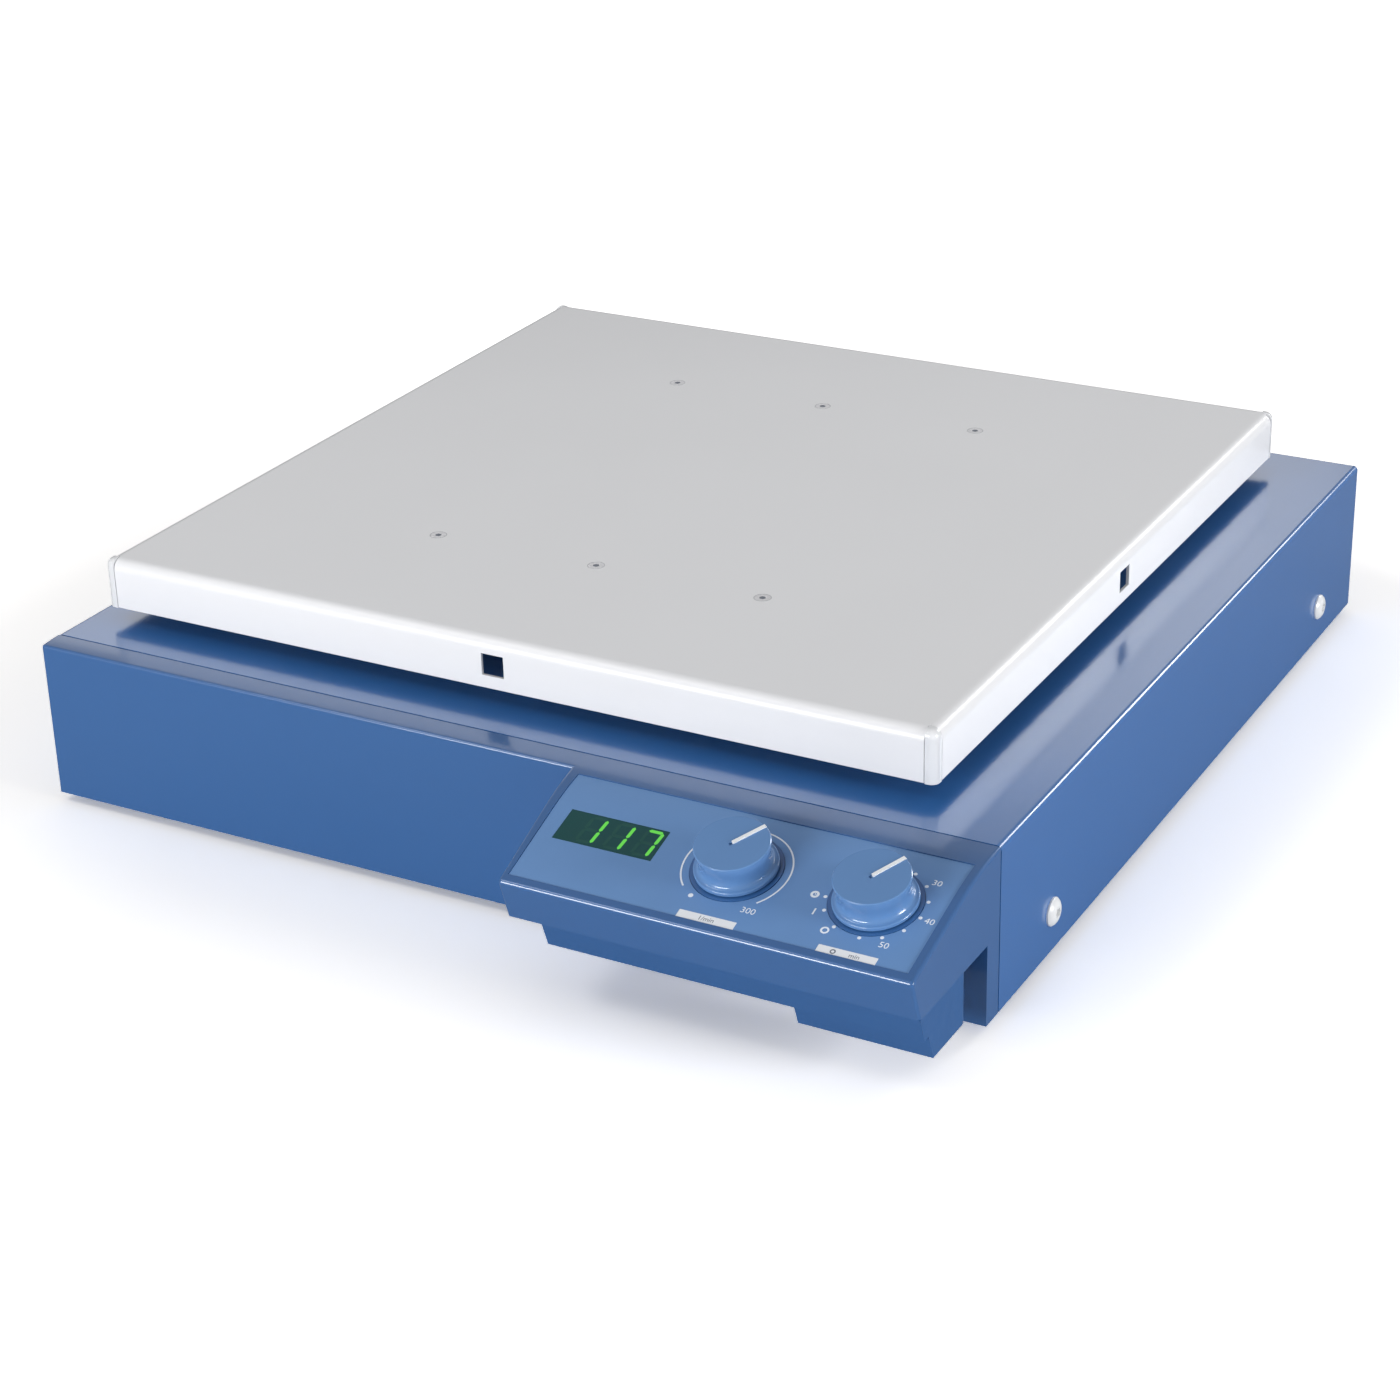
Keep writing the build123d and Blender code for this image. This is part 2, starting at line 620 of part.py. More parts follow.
overlay_recess = panel_slab(OVERLAY_THICKNESS, -OVERLAY_STEP - OVERLAY_THICKNESS, OVERLAY_FIT)
overlay_sheet = panel_slab(-OVERLAY_STEP, -OVERLAY_STEP - OVERLAY_THICKNESS, 0)

# Front panel: strip over the whole width, growing into the hollow console on the right
with BuildPart() as front_panel:
    with BuildSketch(across(-HALF_WIDTH)):
        with BuildLine():
            crest = CenterArc(
                (CREST_Y, BODY_TOP - PANEL_BEND), PANEL_BEND, 90 + SEAM_TURN, FRONT_TURN - SEAM_TURN
            )
            Polyline(crest @ 1, (FRONT, FLOOR_GAP), (SEAM_Y, FLOOR_GAP), crest @ 0)
        make_face()
    extrude(amount=BODY_WIDTH)
    with BuildSketch(across(CONSOLE_LEFT)) as console_side:
        with BuildLine():
            bend = CenterArc(
                (CREST_Y, BODY_TOP - PANEL_BEND), PANEL_BEND, 90 + SEAM_TURN, PANEL_SLOPE - SEAM_TURN
            )
            Polyline(
                bend @ 1,
                (LIP_Y, LIP_Z),
                (apron_y(PARTING_HEIGHT), PARTING_HEIGHT),
                (SEAM_Y, PARTING_HEIGHT),
                bend @ 0,
            )
        make_face()
        fillet(console_side.vertices().sort_by(Axis.X)[0], radius=LIP_EDGE)
    extrude(amount=CONSOLE_WIDTH)
    with BuildSketch(level(PARTING_HEIGHT)):
        with BuildLine():
            Polyline(
                (CONSOLE_LEFT, FRONT),
                (CONSOLE_LEFT, LIP_Y),
                (CONSOLE_LEFT + CONSOLE_TAPER, LIP_Y),
                close=True,
            )
        make_face()
    extrude(amount=BODY_TOP - PARTING_HEIGHT, mode=Mode.SUBTRACT)
    # One soft edge round the strip's top, its ends and the console's cheeks
    rims = front_panel.edges().filter_by(
        lambda e: (
            (e.center().X < -HALF_WIDTH + 0.1 and e.center().Z > FLOOR_GAP + 1)
            or (e.center().X > HALF_WIDTH - 0.1 and e.center().Z > PARTING_HEIGHT + 1)
            or (
                CONSOLE_LEFT - 0.1 < e.center().X < CONSOLE_LEFT + CONSOLE_TAPER + 0.1
                and e.center().Y < ORIGIN_Y + FRONT - 1
                and e.center().Z > PARTING_HEIGHT + 1
            )
            or (
                e.center().X < CONSOLE_LEFT - 0.1
                and e.center().Y < ORIGIN_Y + FRONT + 0.1
                and e.center().Z > BODY_TOP - 2
            )
        )
    )
    fillet([e for e in rims if e.center().Y < ORIGIN_Y + SEAM_Y - 1], radius=END_EDGE)
    # Hollow of the strip, open at the back and below
    with BuildSketch(across(-HALF_WIDTH + STRIP_END)):
        with Locations(((FRONT + MOULD_WALL + SEAM_Y) / 2, (FLOOR_GAP + BODY_TOP - STRIP_ROOF) / 2)):
            Rectangle(STRIP_DEPTH - MOULD_WALL, BODY_HEIGHT - STRIP_ROOF)
    extrude(amount=BODY_WIDTH - 2 * STRIP_END, mode=Mode.SUBTRACT)
    # Hollow of the console, open to the strip's hollow
    with BuildSketch(across(CONSOLE_LEFT + CONSOLE_TAPER + MOULD_WALL)):
        with BuildLine():
            inner = CenterArc(
                (CREST_Y, BODY_TOP - PANEL_BEND),
                PANEL_BEND - MOULD_WALL,
                90 + SEAM_TURN + 1,
                PANEL_SLOPE - SEAM_TURN - 1,
            )
            slope = radians(PANEL_SLOPE)
            inner_lip_y = LIP_Y + MOULD_WALL / cos(radians(APRON_LEAN))
            inner_lip_y += MOULD_WALL * tan(radians(APRON_LEAN))
            inner_lip_z = LIP_Z + (inner_lip_y - LIP_Y) * tan(slope) - MOULD_WALL / cos(slope)
            Polyline(
                inner @ 1,
                (inner_lip_y, inner_lip_z),
                (
                    inner_lip_y + (inner_lip_z - PARTING_HEIGHT - MOULD_WALL) * tan(radians(APRON_LEAN)),
                    PARTING_HEIGHT + MOULD_WALL,
                ),
                (SEAM_Y, PARTING_HEIGHT + MOULD_WALL),
                (SEAM_Y, (inner @ 0).Y),
                inner @ 0,
            )
        make_face()
    extrude(
        amount=HALF_WIDTH - MOULD_WALL - (CONSOLE_LEFT + CONSOLE_TAPER + MOULD_WALL),
        mode=Mode.SUBTRACT,
    )
    # Way down into the box, and holes for the console screws
    with BuildSketch(level(PARTING_HEIGHT)):
        throat_front = apron_y(PARTING_HEIGHT) + 2 * MOULD_WALL
        throat_back = FRONT - GRIP_GAP - 2 * MOULD_WALL
        throat_left = BOX_LEFT + MOULD_WALL
        throat_right = HALF_WIDTH - 2 * MOULD_WALL
        with Locations(((throat_left + throat_right) / 2, (throat_front + throat_back) / 2)):
            Rectangle(throat_right - throat_left, throat_back - throat_front)
        with Locations(*CONSOLE_SCREWS):
            Circle(CONSOLE_SCREW / 2 + PRESS_FIT)
    extrude(amount=MOULD_WALL, mode=Mode.SUBTRACT)
    # Recess for the overlay, with a round collar left standing at each dial
    add(overlay_recess, mode=Mode.SUBTRACT)
    for x in (SPEED_X, TIMER_X):
        with BuildSketch(dial(x)):
            Circle(COLLAR_RADIUS)
        extrude(amount=-MOULD_WALL * 0.6)
        with BuildSketch(dial(x)):
            Circle(DIAL_HOLE_RADIUS)
        extrude(amount=-2 * MOULD_WALL, mode=Mode.SUBTRACT)
    with BuildSketch(panel(0)):
        with Locations((WINDOW_X, WINDOW_S)):
            Rectangle(WINDOW_WIDTH + 2 * WINDOW_FIT, WINDOW_DEPTH + 2 * WINDOW_FIT)
    extrude(amount=-2 * MOULD_WALL, mode=Mode.SUBTRACT)
    # Posts for the panel board
    with BuildSketch(panel(PANEL_BOARD_FACE)):
        for x in (PANEL_BOARD_LEFT + PANEL_POST_INSET, PANEL_BOARD_RIGHT - PANEL_POST_INSET):
            for s in (PANEL_BOARD_FOOT + PANEL_POST_INSET, PANEL_BOARD_TOP - PANEL_POST_INSET):
                with Locations((x, s)):
                    Circle(PANEL_POST_RADIUS)
    extrude(amount=-PANEL_BOARD_FACE - MOULD_WALL * 0.6)
    # Tongue that slides under the cover at the seam
    with BuildSketch(level(COVER_UNDERSIDE - TONGUE_CLEARANCE - TONGUE_THICKNESS)):
        with Locations((0, SEAM_Y - MOULD_WALL + (TONGUE_REACH + MOULD_WALL) / 2)):
            Rectangle(BODY_WIDTH - 4 * MOULD_WALL, TONGUE_REACH + MOULD_WALL)
    extrude(amount=TONGUE_THICKNESS)
front_panel.part.label = "front_panel"
export_step(front_panel.part, "parts/front_panel.step")

# Lower shell of the console: a shallow band, and a deeper box under its right end
with BuildPart() as console_base:
    with BuildSketch(across(BAND_LEFT)):
        with BuildLine():
            Polyline(
                (apron_y(PARTING_HEIGHT), PARTING_HEIGHT),
                (apron_y(BAND_HEIGHT), BAND_HEIGHT),
                (FRONT - GRIP_GAP, BAND_HEIGHT),
                (FRONT - GRIP_GAP, PARTING_HEIGHT),
                close=True,
            )
        make_face()
    extrude(amount=HALF_WIDTH - BAND_LEFT)
    with BuildSketch(across(BOX_LEFT)):
        with BuildLine():
            Polyline(
                (apron_y(BAND_HEIGHT) + BOX_SETBACK, BAND_HEIGHT),
                (apron_y(BOX_HEIGHT) + BOX_SETBACK, BOX_HEIGHT),
                (FRONT - GRIP_GAP, BOX_HEIGHT),
                (FRONT - GRIP_GAP, BAND_HEIGHT),
                close=True,
            )
        make_face()
    extrude(amount=HALF_WIDTH - BOX_LEFT)
    upright = console_base.edges().filter_by(Axis.Z).group_by(Axis.X)[-1].sort_by(Axis.Y)[-1]
    fillet(upright, radius=BOX_CORNER)
    with BuildSketch(across(BAND_LEFT + MOULD_WALL)):
        with BuildLine():
            Polyline(
                (apron_y(PARTING_HEIGHT) + MOULD_WALL, PARTING_HEIGHT),
                (apron_y(BAND_HEIGHT + MOULD_WALL) + MOULD_WALL, BAND_HEIGHT + MOULD_WALL),
                (FRONT - GRIP_GAP - MOULD_WALL, BAND_HEIGHT + MOULD_WALL),
                (FRONT - GRIP_GAP - MOULD_WALL, PARTING_HEIGHT),
                close=True,
            )
        make_face()
    extrude(amount=HALF_WIDTH - BAND_LEFT - 3 * MOULD_WALL, mode=Mode.SUBTRACT)
    with BuildSketch(across(BOX_LEFT + MOULD_WALL)):
        with BuildLine():
            Polyline(
                (apron_y(BAND_HEIGHT) + BOX_SETBACK + MOULD_WALL, BAND_HEIGHT + MOULD_WALL),
                (apron_y(BOX_HEIGHT) + BOX_SETBACK + MOULD_WALL, BOX_HEIGHT + MOULD_WALL),
                (FRONT - GRIP_GAP - MOULD_WALL, BOX_HEIGHT + MOULD_WALL),
                (FRONT - GRIP_GAP - MOULD_WALL, BAND_HEIGHT + MOULD_WALL),
                close=True,
            )
        make_face()
    extrude(amount=HALF_WIDTH - BOX_LEFT - 3 * MOULD_WALL, mode=Mode.SUBTRACT)
    with BuildSketch(level(BAND_HEIGHT)):
        with Locations(*CONSOLE_SCREWS):
            Circle(CONSOLE_POST_RADIUS)
    extrude(amount=PARTING_HEIGHT - BAND_HEIGHT)
    with BuildSketch(level(BAND_HEIGHT)):
        with Locations(*CONSOLE_SCREWS):
            Circle(CONSOLE_SCREW / 2 + HOLE_FIT)
    extrude(amount=PARTING_HEIGHT - BAND_HEIGHT, mode=Mode.SUBTRACT)
    with BuildSketch(level(BAND_HEIGHT)):
        with Locations(*CONSOLE_SCREWS):
            Circle(CONSOLE_SCREW_HEAD_RADIUS + HOLE_FIT)
    extrude(amount=CONSOLE_SCREW_HEAD, mode=Mode.SUBTRACT)
console_base.part.label = "console_base"
export_step(console_base.part, "parts/console_base.step")

# Console screws, up through the lower shell's posts into the upper shell's floor
with BuildPart() as console_screws:
    with BuildSketch(level(BAND_HEIGHT + CONSOLE_SCREW_HEAD)):
        with Locations(*CONSOLE_SCREWS):
            Circle(CONSOLE_SCREW_HEAD_RADIUS)
    extrude(amount=-CONSOLE_SCREW_HEAD + HOLE_FIT)
    with BuildSketch(level(BAND_HEIGHT + CONSOLE_SCREW_HEAD)):
        with Locations(*CONSOLE_SCREWS):
            Circle(CONSOLE_SCREW / 2)
    extrude(amount=PARTING_HEIGHT + MOULD_WALL - BAND_HEIGHT - CONSOLE_SCREW_HEAD)
console_screws.part.label = "console_screws"
export_step(console_screws.part, "parts/console_screws.step")

# Overlay: thin printed sheet bent over the panel, open at the window and the dial collars
with BuildPart() as panel_overlay:
    add(overlay_sheet)
    with BuildSketch(panel(0)):
        with Locations((WINDOW_X, WINDOW_S)):
            Rectangle(WINDOW_WIDTH + 2 * WINDOW_FIT, WINDOW_DEPTH + 2 * WINDOW_FIT)
        for x in (SPEED_X, TIMER_X):
            with Locations((x, DIAL_S)):
                Circle(COLLAR_RADIUS + COLLAR_FIT)
    extrude(amount=-MOULD_WALL, mode=Mode.SUBTRACT)
panel_overlay.part.label = "panel_overlay"
export_step(panel_overlay.part, "parts/panel_overlay.step")

# Dark filter window, flush with the overlay
with BuildPart() as display_window:
    with BuildSketch(panel(-OVERLAY_STEP)):
        with Locations((WINDOW_X, WINDOW_S)):
            Rectangle(WINDOW_WIDTH, WINDOW_DEPTH)
    extrude(amount=-WINDOW_THICKNESS)
display_window.part.label = "display_window"
export_step(display_window.part, "parts/display_window.step")

# Digit block of the display, between the window and the panel board
with BuildPart() as display_module:
    with BuildSketch(panel(PANEL_BOARD_FACE)):
        with Locations((WINDOW_X, WINDOW_S)):
            Rectangle(WINDOW_WIDTH, WINDOW_DEPTH)
    extrude(amount=DISPLAY_HEIGHT)
display_module.part.label = "display_module"
export_step(display_module.part, "parts/display_module.step")

# Board under the panel, on four posts
with BuildPart() as display_board:
    with BuildSketch(panel(PANEL_BOARD_FACE)):
        centre_x = (PANEL_BOARD_LEFT + PANEL_BOARD_RIGHT) / 2
        centre_s = (PANEL_BOARD_FOOT + PANEL_BOARD_TOP) / 2
        with Locations((centre_x, centre_s)):
            Rectangle(PANEL_BOARD_RIGHT - PANEL_BOARD_LEFT, PANEL_BOARD_TOP - PANEL_BOARD_FOOT)
    extrude(amount=-BOARD)
display_board.part.label = "display_board"
export_step(display_board.part, "parts/display_board.step")

# Speed potentiometer on the panel board, with its threaded bushing in the panel's hole
with BuildPart() as speed_potentiometer:
    with BuildSketch(dial(SPEED_X, PANEL_BOARD_FACE)):
        RectangleRounded(POTENTIOMETER_SIDE, POTENTIOMETER_SIDE, 2)
    extrude(amount=-PANEL_BOARD_FACE - MOULD_WALL - HOLE_FIT)
    with BuildSketch(dial(SPEED_X, PANEL_BOARD_FACE)):
        Circle(BUSHING_RADIUS)
    extrude(amount=-PANEL_BOARD_FACE)
    with BuildSketch(dial(SPEED_X, PANEL_BOARD_FACE + BOARD)):
        Circle(DIAL_SHAFT_RADIUS + RUNNING_FIT)
    extrude(amount=-PANEL_BOARD_FACE, mode=Mode.SUBTRACT)
speed_potentiometer.part.label = "speed_potentiometer"
export_step(speed_potentiometer.part, "parts/speed_potentiometer.step")

# Timer movement hung under the panel by its bushing
with BuildPart() as timer_unit:
    with BuildSketch(dial(TIMER_X, -MOULD_WALL - TIMER_SEAT)):
        RectangleRounded(TIMER_SIDE, TIMER_SIDE, TIMER_CORNER)
    extrude(amount=-TIMER_DEPTH)
    with BuildSketch(dial(TIMER_X, -MOULD_WALL - TIMER_SEAT - TIMER_DEPTH)):
        with GridLocations(9, 1, 3, 1):
            Rectangle(1, 6)
    extrude(amount=-TIMER_TAG)
    with BuildSketch(dial(TIMER_X, -MOULD_WALL - TIMER_SEAT)):
        Circle(TIMER_SEAT_RADIUS)
    extrude(amount=TIMER_SEAT)
    with BuildSketch(dial(TIMER_X, -MOULD_WALL)):
        Circle(BUSHING_RADIUS)
    extrude(amount=MOULD_WALL)
    with BuildSketch(dial(TIMER_X, PANEL_BOARD_FACE + BOARD)):
        Circle(DIAL_SHAFT_RADIUS + RUNNING_FIT)
    extrude(amount=-PANEL_BOARD_FACE, mode=Mode.SUBTRACT)
timer_unit.part.label = "timer_unit"
export_step(timer_unit.part, "parts/timer_unit.step")


def turn_knob(x):
    """Body of a knob: flat top, drawn-in side, flared skirt, hollow below round a boss."""
    section = dial_section(x)
    top = KNOB_LIFT + KNOB_HEIGHT
    rim = KNOB_LIFT + KNOB_SKIRT_HEIGHT
    with BuildSketch(section) as profile:
        with BuildLine():
            Polyline(
                (0, DIAL_TOP),
                (0, top),
                (KNOB_TOP_RADIUS - 0.4, top),
                (KNOB_TOP_RADIUS, top - 0.4),
                (KNOB_TOP_RADIUS - 0.1, top - 1.6),
            )
            Spline(
                (KNOB_TOP_RADIUS - 0.1, top - 1.6),
                (KNOB_WAIST_RADIUS, KNOB_LIFT + KNOB_HEIGHT * 0.42),
                (KNOB_SKIRT_RADIUS - KNOB_RIM, rim + KNOB_RIM),
                tangents=[(-0.12, -1), (1, -0.1)],
            )
            ThreePointArc(
                (KNOB_SKIRT_RADIUS - KNOB_RIM, rim + KNOB_RIM),
                (KNOB_SKIRT_RADIUS - KNOB_RIM * 0.293, rim + KNOB_RIM * 0.707),
                (KNOB_SKIRT_RADIUS, rim),
            )
            Polyline(
                (KNOB_SKIRT_RADIUS, rim),
                (KNOB_SKIRT_RADIUS, KNOB_LIFT),
                (KNOB_SKIRT_RADIUS - KNOB_WALL, KNOB_LIFT),
                (KNOB_WAIST_RADIUS - KNOB_WALL, KNOB_LIFT + KNOB_WALL),
                (KNOB_WAIST_RADIUS - KNOB_WALL, top - KNOB_WALL),
                (KNOB_BOSS_RADIUS, top - KNOB_WALL),
                (KNOB_BOSS_RADIUS, KNOB_LIFT),
                (DIAL_SHAFT_RADIUS, KNOB_LIFT),
                (DIAL_SHAFT_RADIUS, DIAL_TOP),
                (0, DIAL_TOP),
            )
        make_face()
    revolve(profile.sketch, axis=Axis(section.origin, section.y_dir))


def pointer_outline(x, angle, inner_end, height, mode):
    """The straight bar let into a knob's top, at this angle from the panel's x, out to the rim."""
    length = POINTER_END - inner_end
    with BuildSketch(dial(x, KNOB_LIFT + KNOB_HEIGHT - POINTER_DEPTH)) as outline:
        with PolarLocations((inner_end + POINTER_END) / 2, 1, start_angle=angle):
            Rectangle(length, POINTER_WIDTH)
    extrude(outline.sketch, amount=height, mode=mode)


def dial_shaft(x):
    """The shaft of a dial, from the control's body up into the knob."""
    with BuildSketch(dial(x, PANEL_BOARD_FACE + BOARD)) as round_bar:
        Circle(DIAL_SHAFT_RADIUS - PRESS_FIT)
    extrude(round_bar.sketch, amount=DIAL_TOP - PANEL_BOARD_FACE - BOARD)


# Speed knob, its pointer and its shaft
with BuildPart() as speed_knob:
    turn_knob(SPEED_X)
    pointer_outline(SPEED_X, SPEED_POINTER_ANGLE, GROOVE_START, POINTER_DEPTH, Mode.SUBTRACT)
speed_knob.part.label = "speed_knob"
export_step(speed_knob.part, "parts/speed_knob.step")

with BuildPart() as speed_pointer:
    bar_height = POINTER_DEPTH + POINTER_RISE
    pointer_outline(SPEED_X, SPEED_POINTER_ANGLE, POINTER_START, bar_height, Mode.ADD)
speed_pointer.part.label = "speed_pointer"
export_step(speed_pointer.part, "parts/speed_pointer.step")

with BuildPart() as speed_shaft:
    dial_shaft(SPEED_X)
speed_shaft.part.label = "speed_shaft"
export_step(speed_shaft.part, "parts/speed_shaft.step")

# Timer knob, its pointer and its shaft
with BuildPart() as timer_knob:
    turn_knob(TIMER_X)
    pointer_outline(TIMER_X, TIMER_POINTER_ANGLE, GROOVE_START, POINTER_DEPTH, Mode.SUBTRACT)
timer_knob.part.label = "timer_knob"
export_step(timer_knob.part, "parts/timer_knob.step")

with BuildPart() as timer_pointer:
    pointer_outline(TIMER_X, TIMER_POINTER_ANGLE, POINTER_START, bar_height, Mode.ADD)
timer_pointer.part.label = "timer_pointer"
export_step(timer_pointer.part, "parts/timer_pointer.step")

with BuildPart() as timer_shaft:
    dial_shaft(TIMER_X)
timer_shaft.part.label = "timer_shaft"
export_step(timer_shaft.part, "parts/timer_shaft.step")

# Mains inlet: a flanged shell with a six-sided mouth, let into the cover's back
with BuildPart() as mains_inlet:
    with BuildSketch(facing_back(BACK)):
        with Locations((-INLET_X, INLET_HEIGHT)):
            RectangleRounded(INLET_PLATE_WIDTH, INLET_PLATE_HEIGHT, 4)
            with GridLocations(INLET_SCREW_SPACING, 1, 2, 1):
                Circle(INLET_SCREW / 2 + HOLE_FIT, mode=Mode.SUBTRACT)
    extrude(amount=INLET_PLATE)
    with BuildSketch(facing_back(BACK)):
        with Locations((-INLET_X, INLET_HEIGHT)):
            Rectangle(INLET_BODY_WIDTH, INLET_BODY_HEIGHT)
    extrude(amount=-INLET_BODY_DEPTH)
    with BuildSketch(facing_back(BACK + INLET_PLATE)) as mouth:
        with Locations((-INLET_X, INLET_HEIGHT)):
            Rectangle(INLET_MOUTH_WIDTH, INLET_MOUTH_HEIGHT)
        chamfer(mouth.vertices().group_by(Axis.Y)[-1], length=INLET_MOUTH_CORNER)
    extrude(amount=-INLET_MOUTH_DEPTH, mode=Mode.SUBTRACT)
mains_inlet.part.label = "mains_inlet"
export_step(mains_inlet.part, "parts/mains_inlet.step")

# Contact pins of the inlet
with BuildPart() as inlet_pins:
    with BuildSketch(facing_back(BACK + INLET_PLATE - INLET_MOUTH_DEPTH)):
        with Locations((-INLET_X, INLET_HEIGHT)):
            with Locations((-7, -2), (7, -2), (0, 2)):
                Rectangle(2, 4)
    extrude(amount=INLET_MOUTH_DEPTH - INLET_PIN_RECESS)
inlet_pins.part.label = "inlet_pins"
export_step(inlet_pins.part, "parts/inlet_pins.step")

# Inlet screws
with BuildPart() as inlet_screws:
    with BuildSketch(facing_back(BACK + INLET_PLATE)):
        with Locations((-INLET_X, INLET_HEIGHT)):
            with GridLocations(INLET_SCREW_SPACING, 1, 2, 1):
                Circle(INLET_SCREW)
    extrude(amount=INLET_SCREW / 2)
    with BuildSketch(facing_back(BACK + INLET_PLATE)):
        with Locations((-INLET_X, INLET_HEIGHT)):
            with GridLocations(INLET_SCREW_SPACING, 1, 2, 1):
                Circle(INLET_SCREW / 2)
    extrude(amount=-INLET_PLATE - 2 * SHEET)
inlet_screws.part.label = "inlet_screws"
export_step(inlet_screws.part, "parts/inlet_screws.step")

# Power board on standoffs at the front left, with its parts
POWER_BOARD_FOOT = PAN_TOP + POWER_BOARD_LIFT
POWER_BOARD_FACE = POWER_BOARD_FOOT + BOARD
with BuildPart() as power_board:
    with BuildSketch(level(POWER_BOARD_FOOT)):
        with Locations((POWER_BOARD_X, PARTS_Y)):
            Rectangle(POWER_BOARD_WIDTH, POWER_BOARD_DEPTH)
    extrude(amount=BOARD)
power_board.part.label = "power_board"
export_step(power_board.part, "parts/power_board.step")

with BuildPart() as board_standoffs:
    with BuildSketch(level(PAN_TOP)):
        with Locations((POWER_BOARD_X, PARTS_Y)):
            with GridLocations(
                POWER_BOARD_WIDTH - 2 * STANDOFF_INSET, POWER_BOARD_DEPTH - 2 * STANDOFF_INSET, 2, 2
            ):
                RegularPolygon(STANDOFF_RADIUS, 6)
    extrude(amount=POWER_BOARD_LIFT)
board_standoffs.part.label = "board_standoffs"
export_step(board_standoffs.part, "parts/board_standoffs.step")

with BuildPart() as board_capacitors:
    with BuildSketch(level(POWER_BOARD_FACE)):
        with Locations((POWER_BOARD_X + CAPACITOR_OFFSET, PARTS_Y)):
            with GridLocations(1, CAPACITOR_PITCH, 1, 2):
                Circle(CAPACITOR_RADIUS)
    extrude(amount=CAPACITOR_HEIGHT)
    fillet(board_capacitors.faces().group_by(Axis.Z)[-1].edges(), radius=CAPACITOR_EDGE)
board_capacitors.part.label = "board_capacitors"
export_step(board_capacitors.part, "parts/board_capacitors.step")

with BuildPart() as board_heatsink:
    with BuildSketch(level(POWER_BOARD_FACE)):
        with Locations((POWER_BOARD_X + HEATSINK_OFFSET, PARTS_Y)):
            Rectangle(HEATSINK_WIDTH, HEATSINK_WEB)
            with GridLocations(FIN_PITCH, 1, FIN_COUNT, 1):
                Rectangle(FIN, HEATSINK_DEPTH)
    extrude(amount=HEATSINK_HEIGHT)
board_heatsink.part.label = "board_heatsink"
export_step(board_heatsink.part, "parts/board_heatsink.step")

# Mains transformer: a laminated core with two windows, and the coil round its middle leg
with BuildPart() as transformer_core:
    with BuildSketch(facing_back(PARTS_Y - TRANSFORMER_DEPTH / 2)):
        with Locations((-TRANSFORMER_X, PAN_TOP + TRANSFORMER_HEIGHT / 2)):
            Rectangle(TRANSFORMER_WIDTH, TRANSFORMER_HEIGHT)
            with GridLocations(TRANSFORMER_WIDTH / 2, 1, 2, 1):
                Rectangle(TRANSFORMER_WIDTH / 6, TRANSFORMER_HEIGHT * 0.64, mode=Mode.SUBTRACT)
    extrude(amount=TRANSFORMER_DEPTH)
transformer_core.part.label = "transformer_core"
export_step(transformer_core.part, "parts/transformer_core.step")

with BuildPart() as transformer_coil:
    coil_reach = TRANSFORMER_DEPTH + 2 * COIL_OVERHANG
    coil_height = TRANSFORMER_HEIGHT * 0.64 - 2 * HOLE_FIT
    coil_width = TRANSFORMER_WIDTH * 2 / 3 - 2 * HOLE_FIT
    with BuildSketch(level(PAN_TOP + (TRANSFORMER_HEIGHT - coil_height) / 2)):
        with Locations((TRANSFORMER_X, PARTS_Y)):
            RectangleRounded(coil_width, coil_reach, COIL_CORNER)
            Rectangle(TRANSFORMER_WIDTH / 3, TRANSFORMER_DEPTH, mode=Mode.SUBTRACT)
    extrude(amount=coil_height)
transformer_coil.part.label = "transformer_coil"
export_step(transformer_coil.part, "parts/transformer_coil.step")

# Main bearing housing: a turned flange and barrel, bored from both ends to a shoulder
with BuildPart() as main_housing:
    bore = MAIN_OUTER / 2
    with BuildSketch(section_at(0, 0)):
        with BuildLine():
            Polyline(
                (bore, PAN_TOP),
                (MAIN_FLANGE_RADIUS, PAN_TOP),
                (MAIN_FLANGE_RADIUS, PAN_TOP + MAIN_FLANGE),
                (bore + HOUSING_WALL, PAN_TOP + MAIN_FLANGE),
                (bore + HOUSING_WALL, HOUSING_TOP),
                (bore, HOUSING_TOP),
                (bore, UPPER_BEARING),
                (bore - HOUSING_SHOULDER, UPPER_BEARING),
                (bore - HOUSING_SHOULDER, LOWER_BEARING + MAIN_WIDTH),
                (bore, LOWER_BEARING + MAIN_WIDTH),
                close=True,
            )
        make_face()
    revolve(axis=axis_at(0, 0))
    fillet(
        main_housing.edges().filter_by(GeomType.CIRCLE).filter_by(
            lambda e: abs(e.radius - bore - HOUSING_WALL) < 0.01 and e.center().Z < HOUSING_TOP - 1
        ),
        radius=MAIN_FOOT,
    )
    with Locations(level(PAN_TOP + MAIN_FLANGE)):
        with PolarLocations(MAIN_BOLT_CIRCLE / 2, 4, start_angle=45):
            Hole(MAIN_BOLT / 2 + HOLE_FIT, depth=MAIN_FLANGE)
main_housing.part.label = "main_housing"
export_step(main_housing.part, "parts/main_housing.step")

with BuildPart() as main_housing_bolts:
    with BuildSketch(level(PAN_TOP + MAIN_FLANGE)):
        with PolarLocations(MAIN_BOLT_CIRCLE / 2, 4, start_angle=45):
            RegularPolygon(MAIN_BOLT * HEX_HEAD * 1.4, 6)
    extrude(amount=MAIN_BOLT * HEX_HEAD)
    with BuildSketch(level(PAN_TOP + MAIN_FLANGE)):
        with PolarLocations(MAIN_BOLT_CIRCLE / 2, 4, start_angle=45):
            Circle(MAIN_BOLT / 2)
    extrude(amount=-MAIN_FLANGE)
main_housing_bolts.part.label = "main_housing_bolts"
export_step(main_housing_bolts.part, "parts/main_housing_bolts.step")

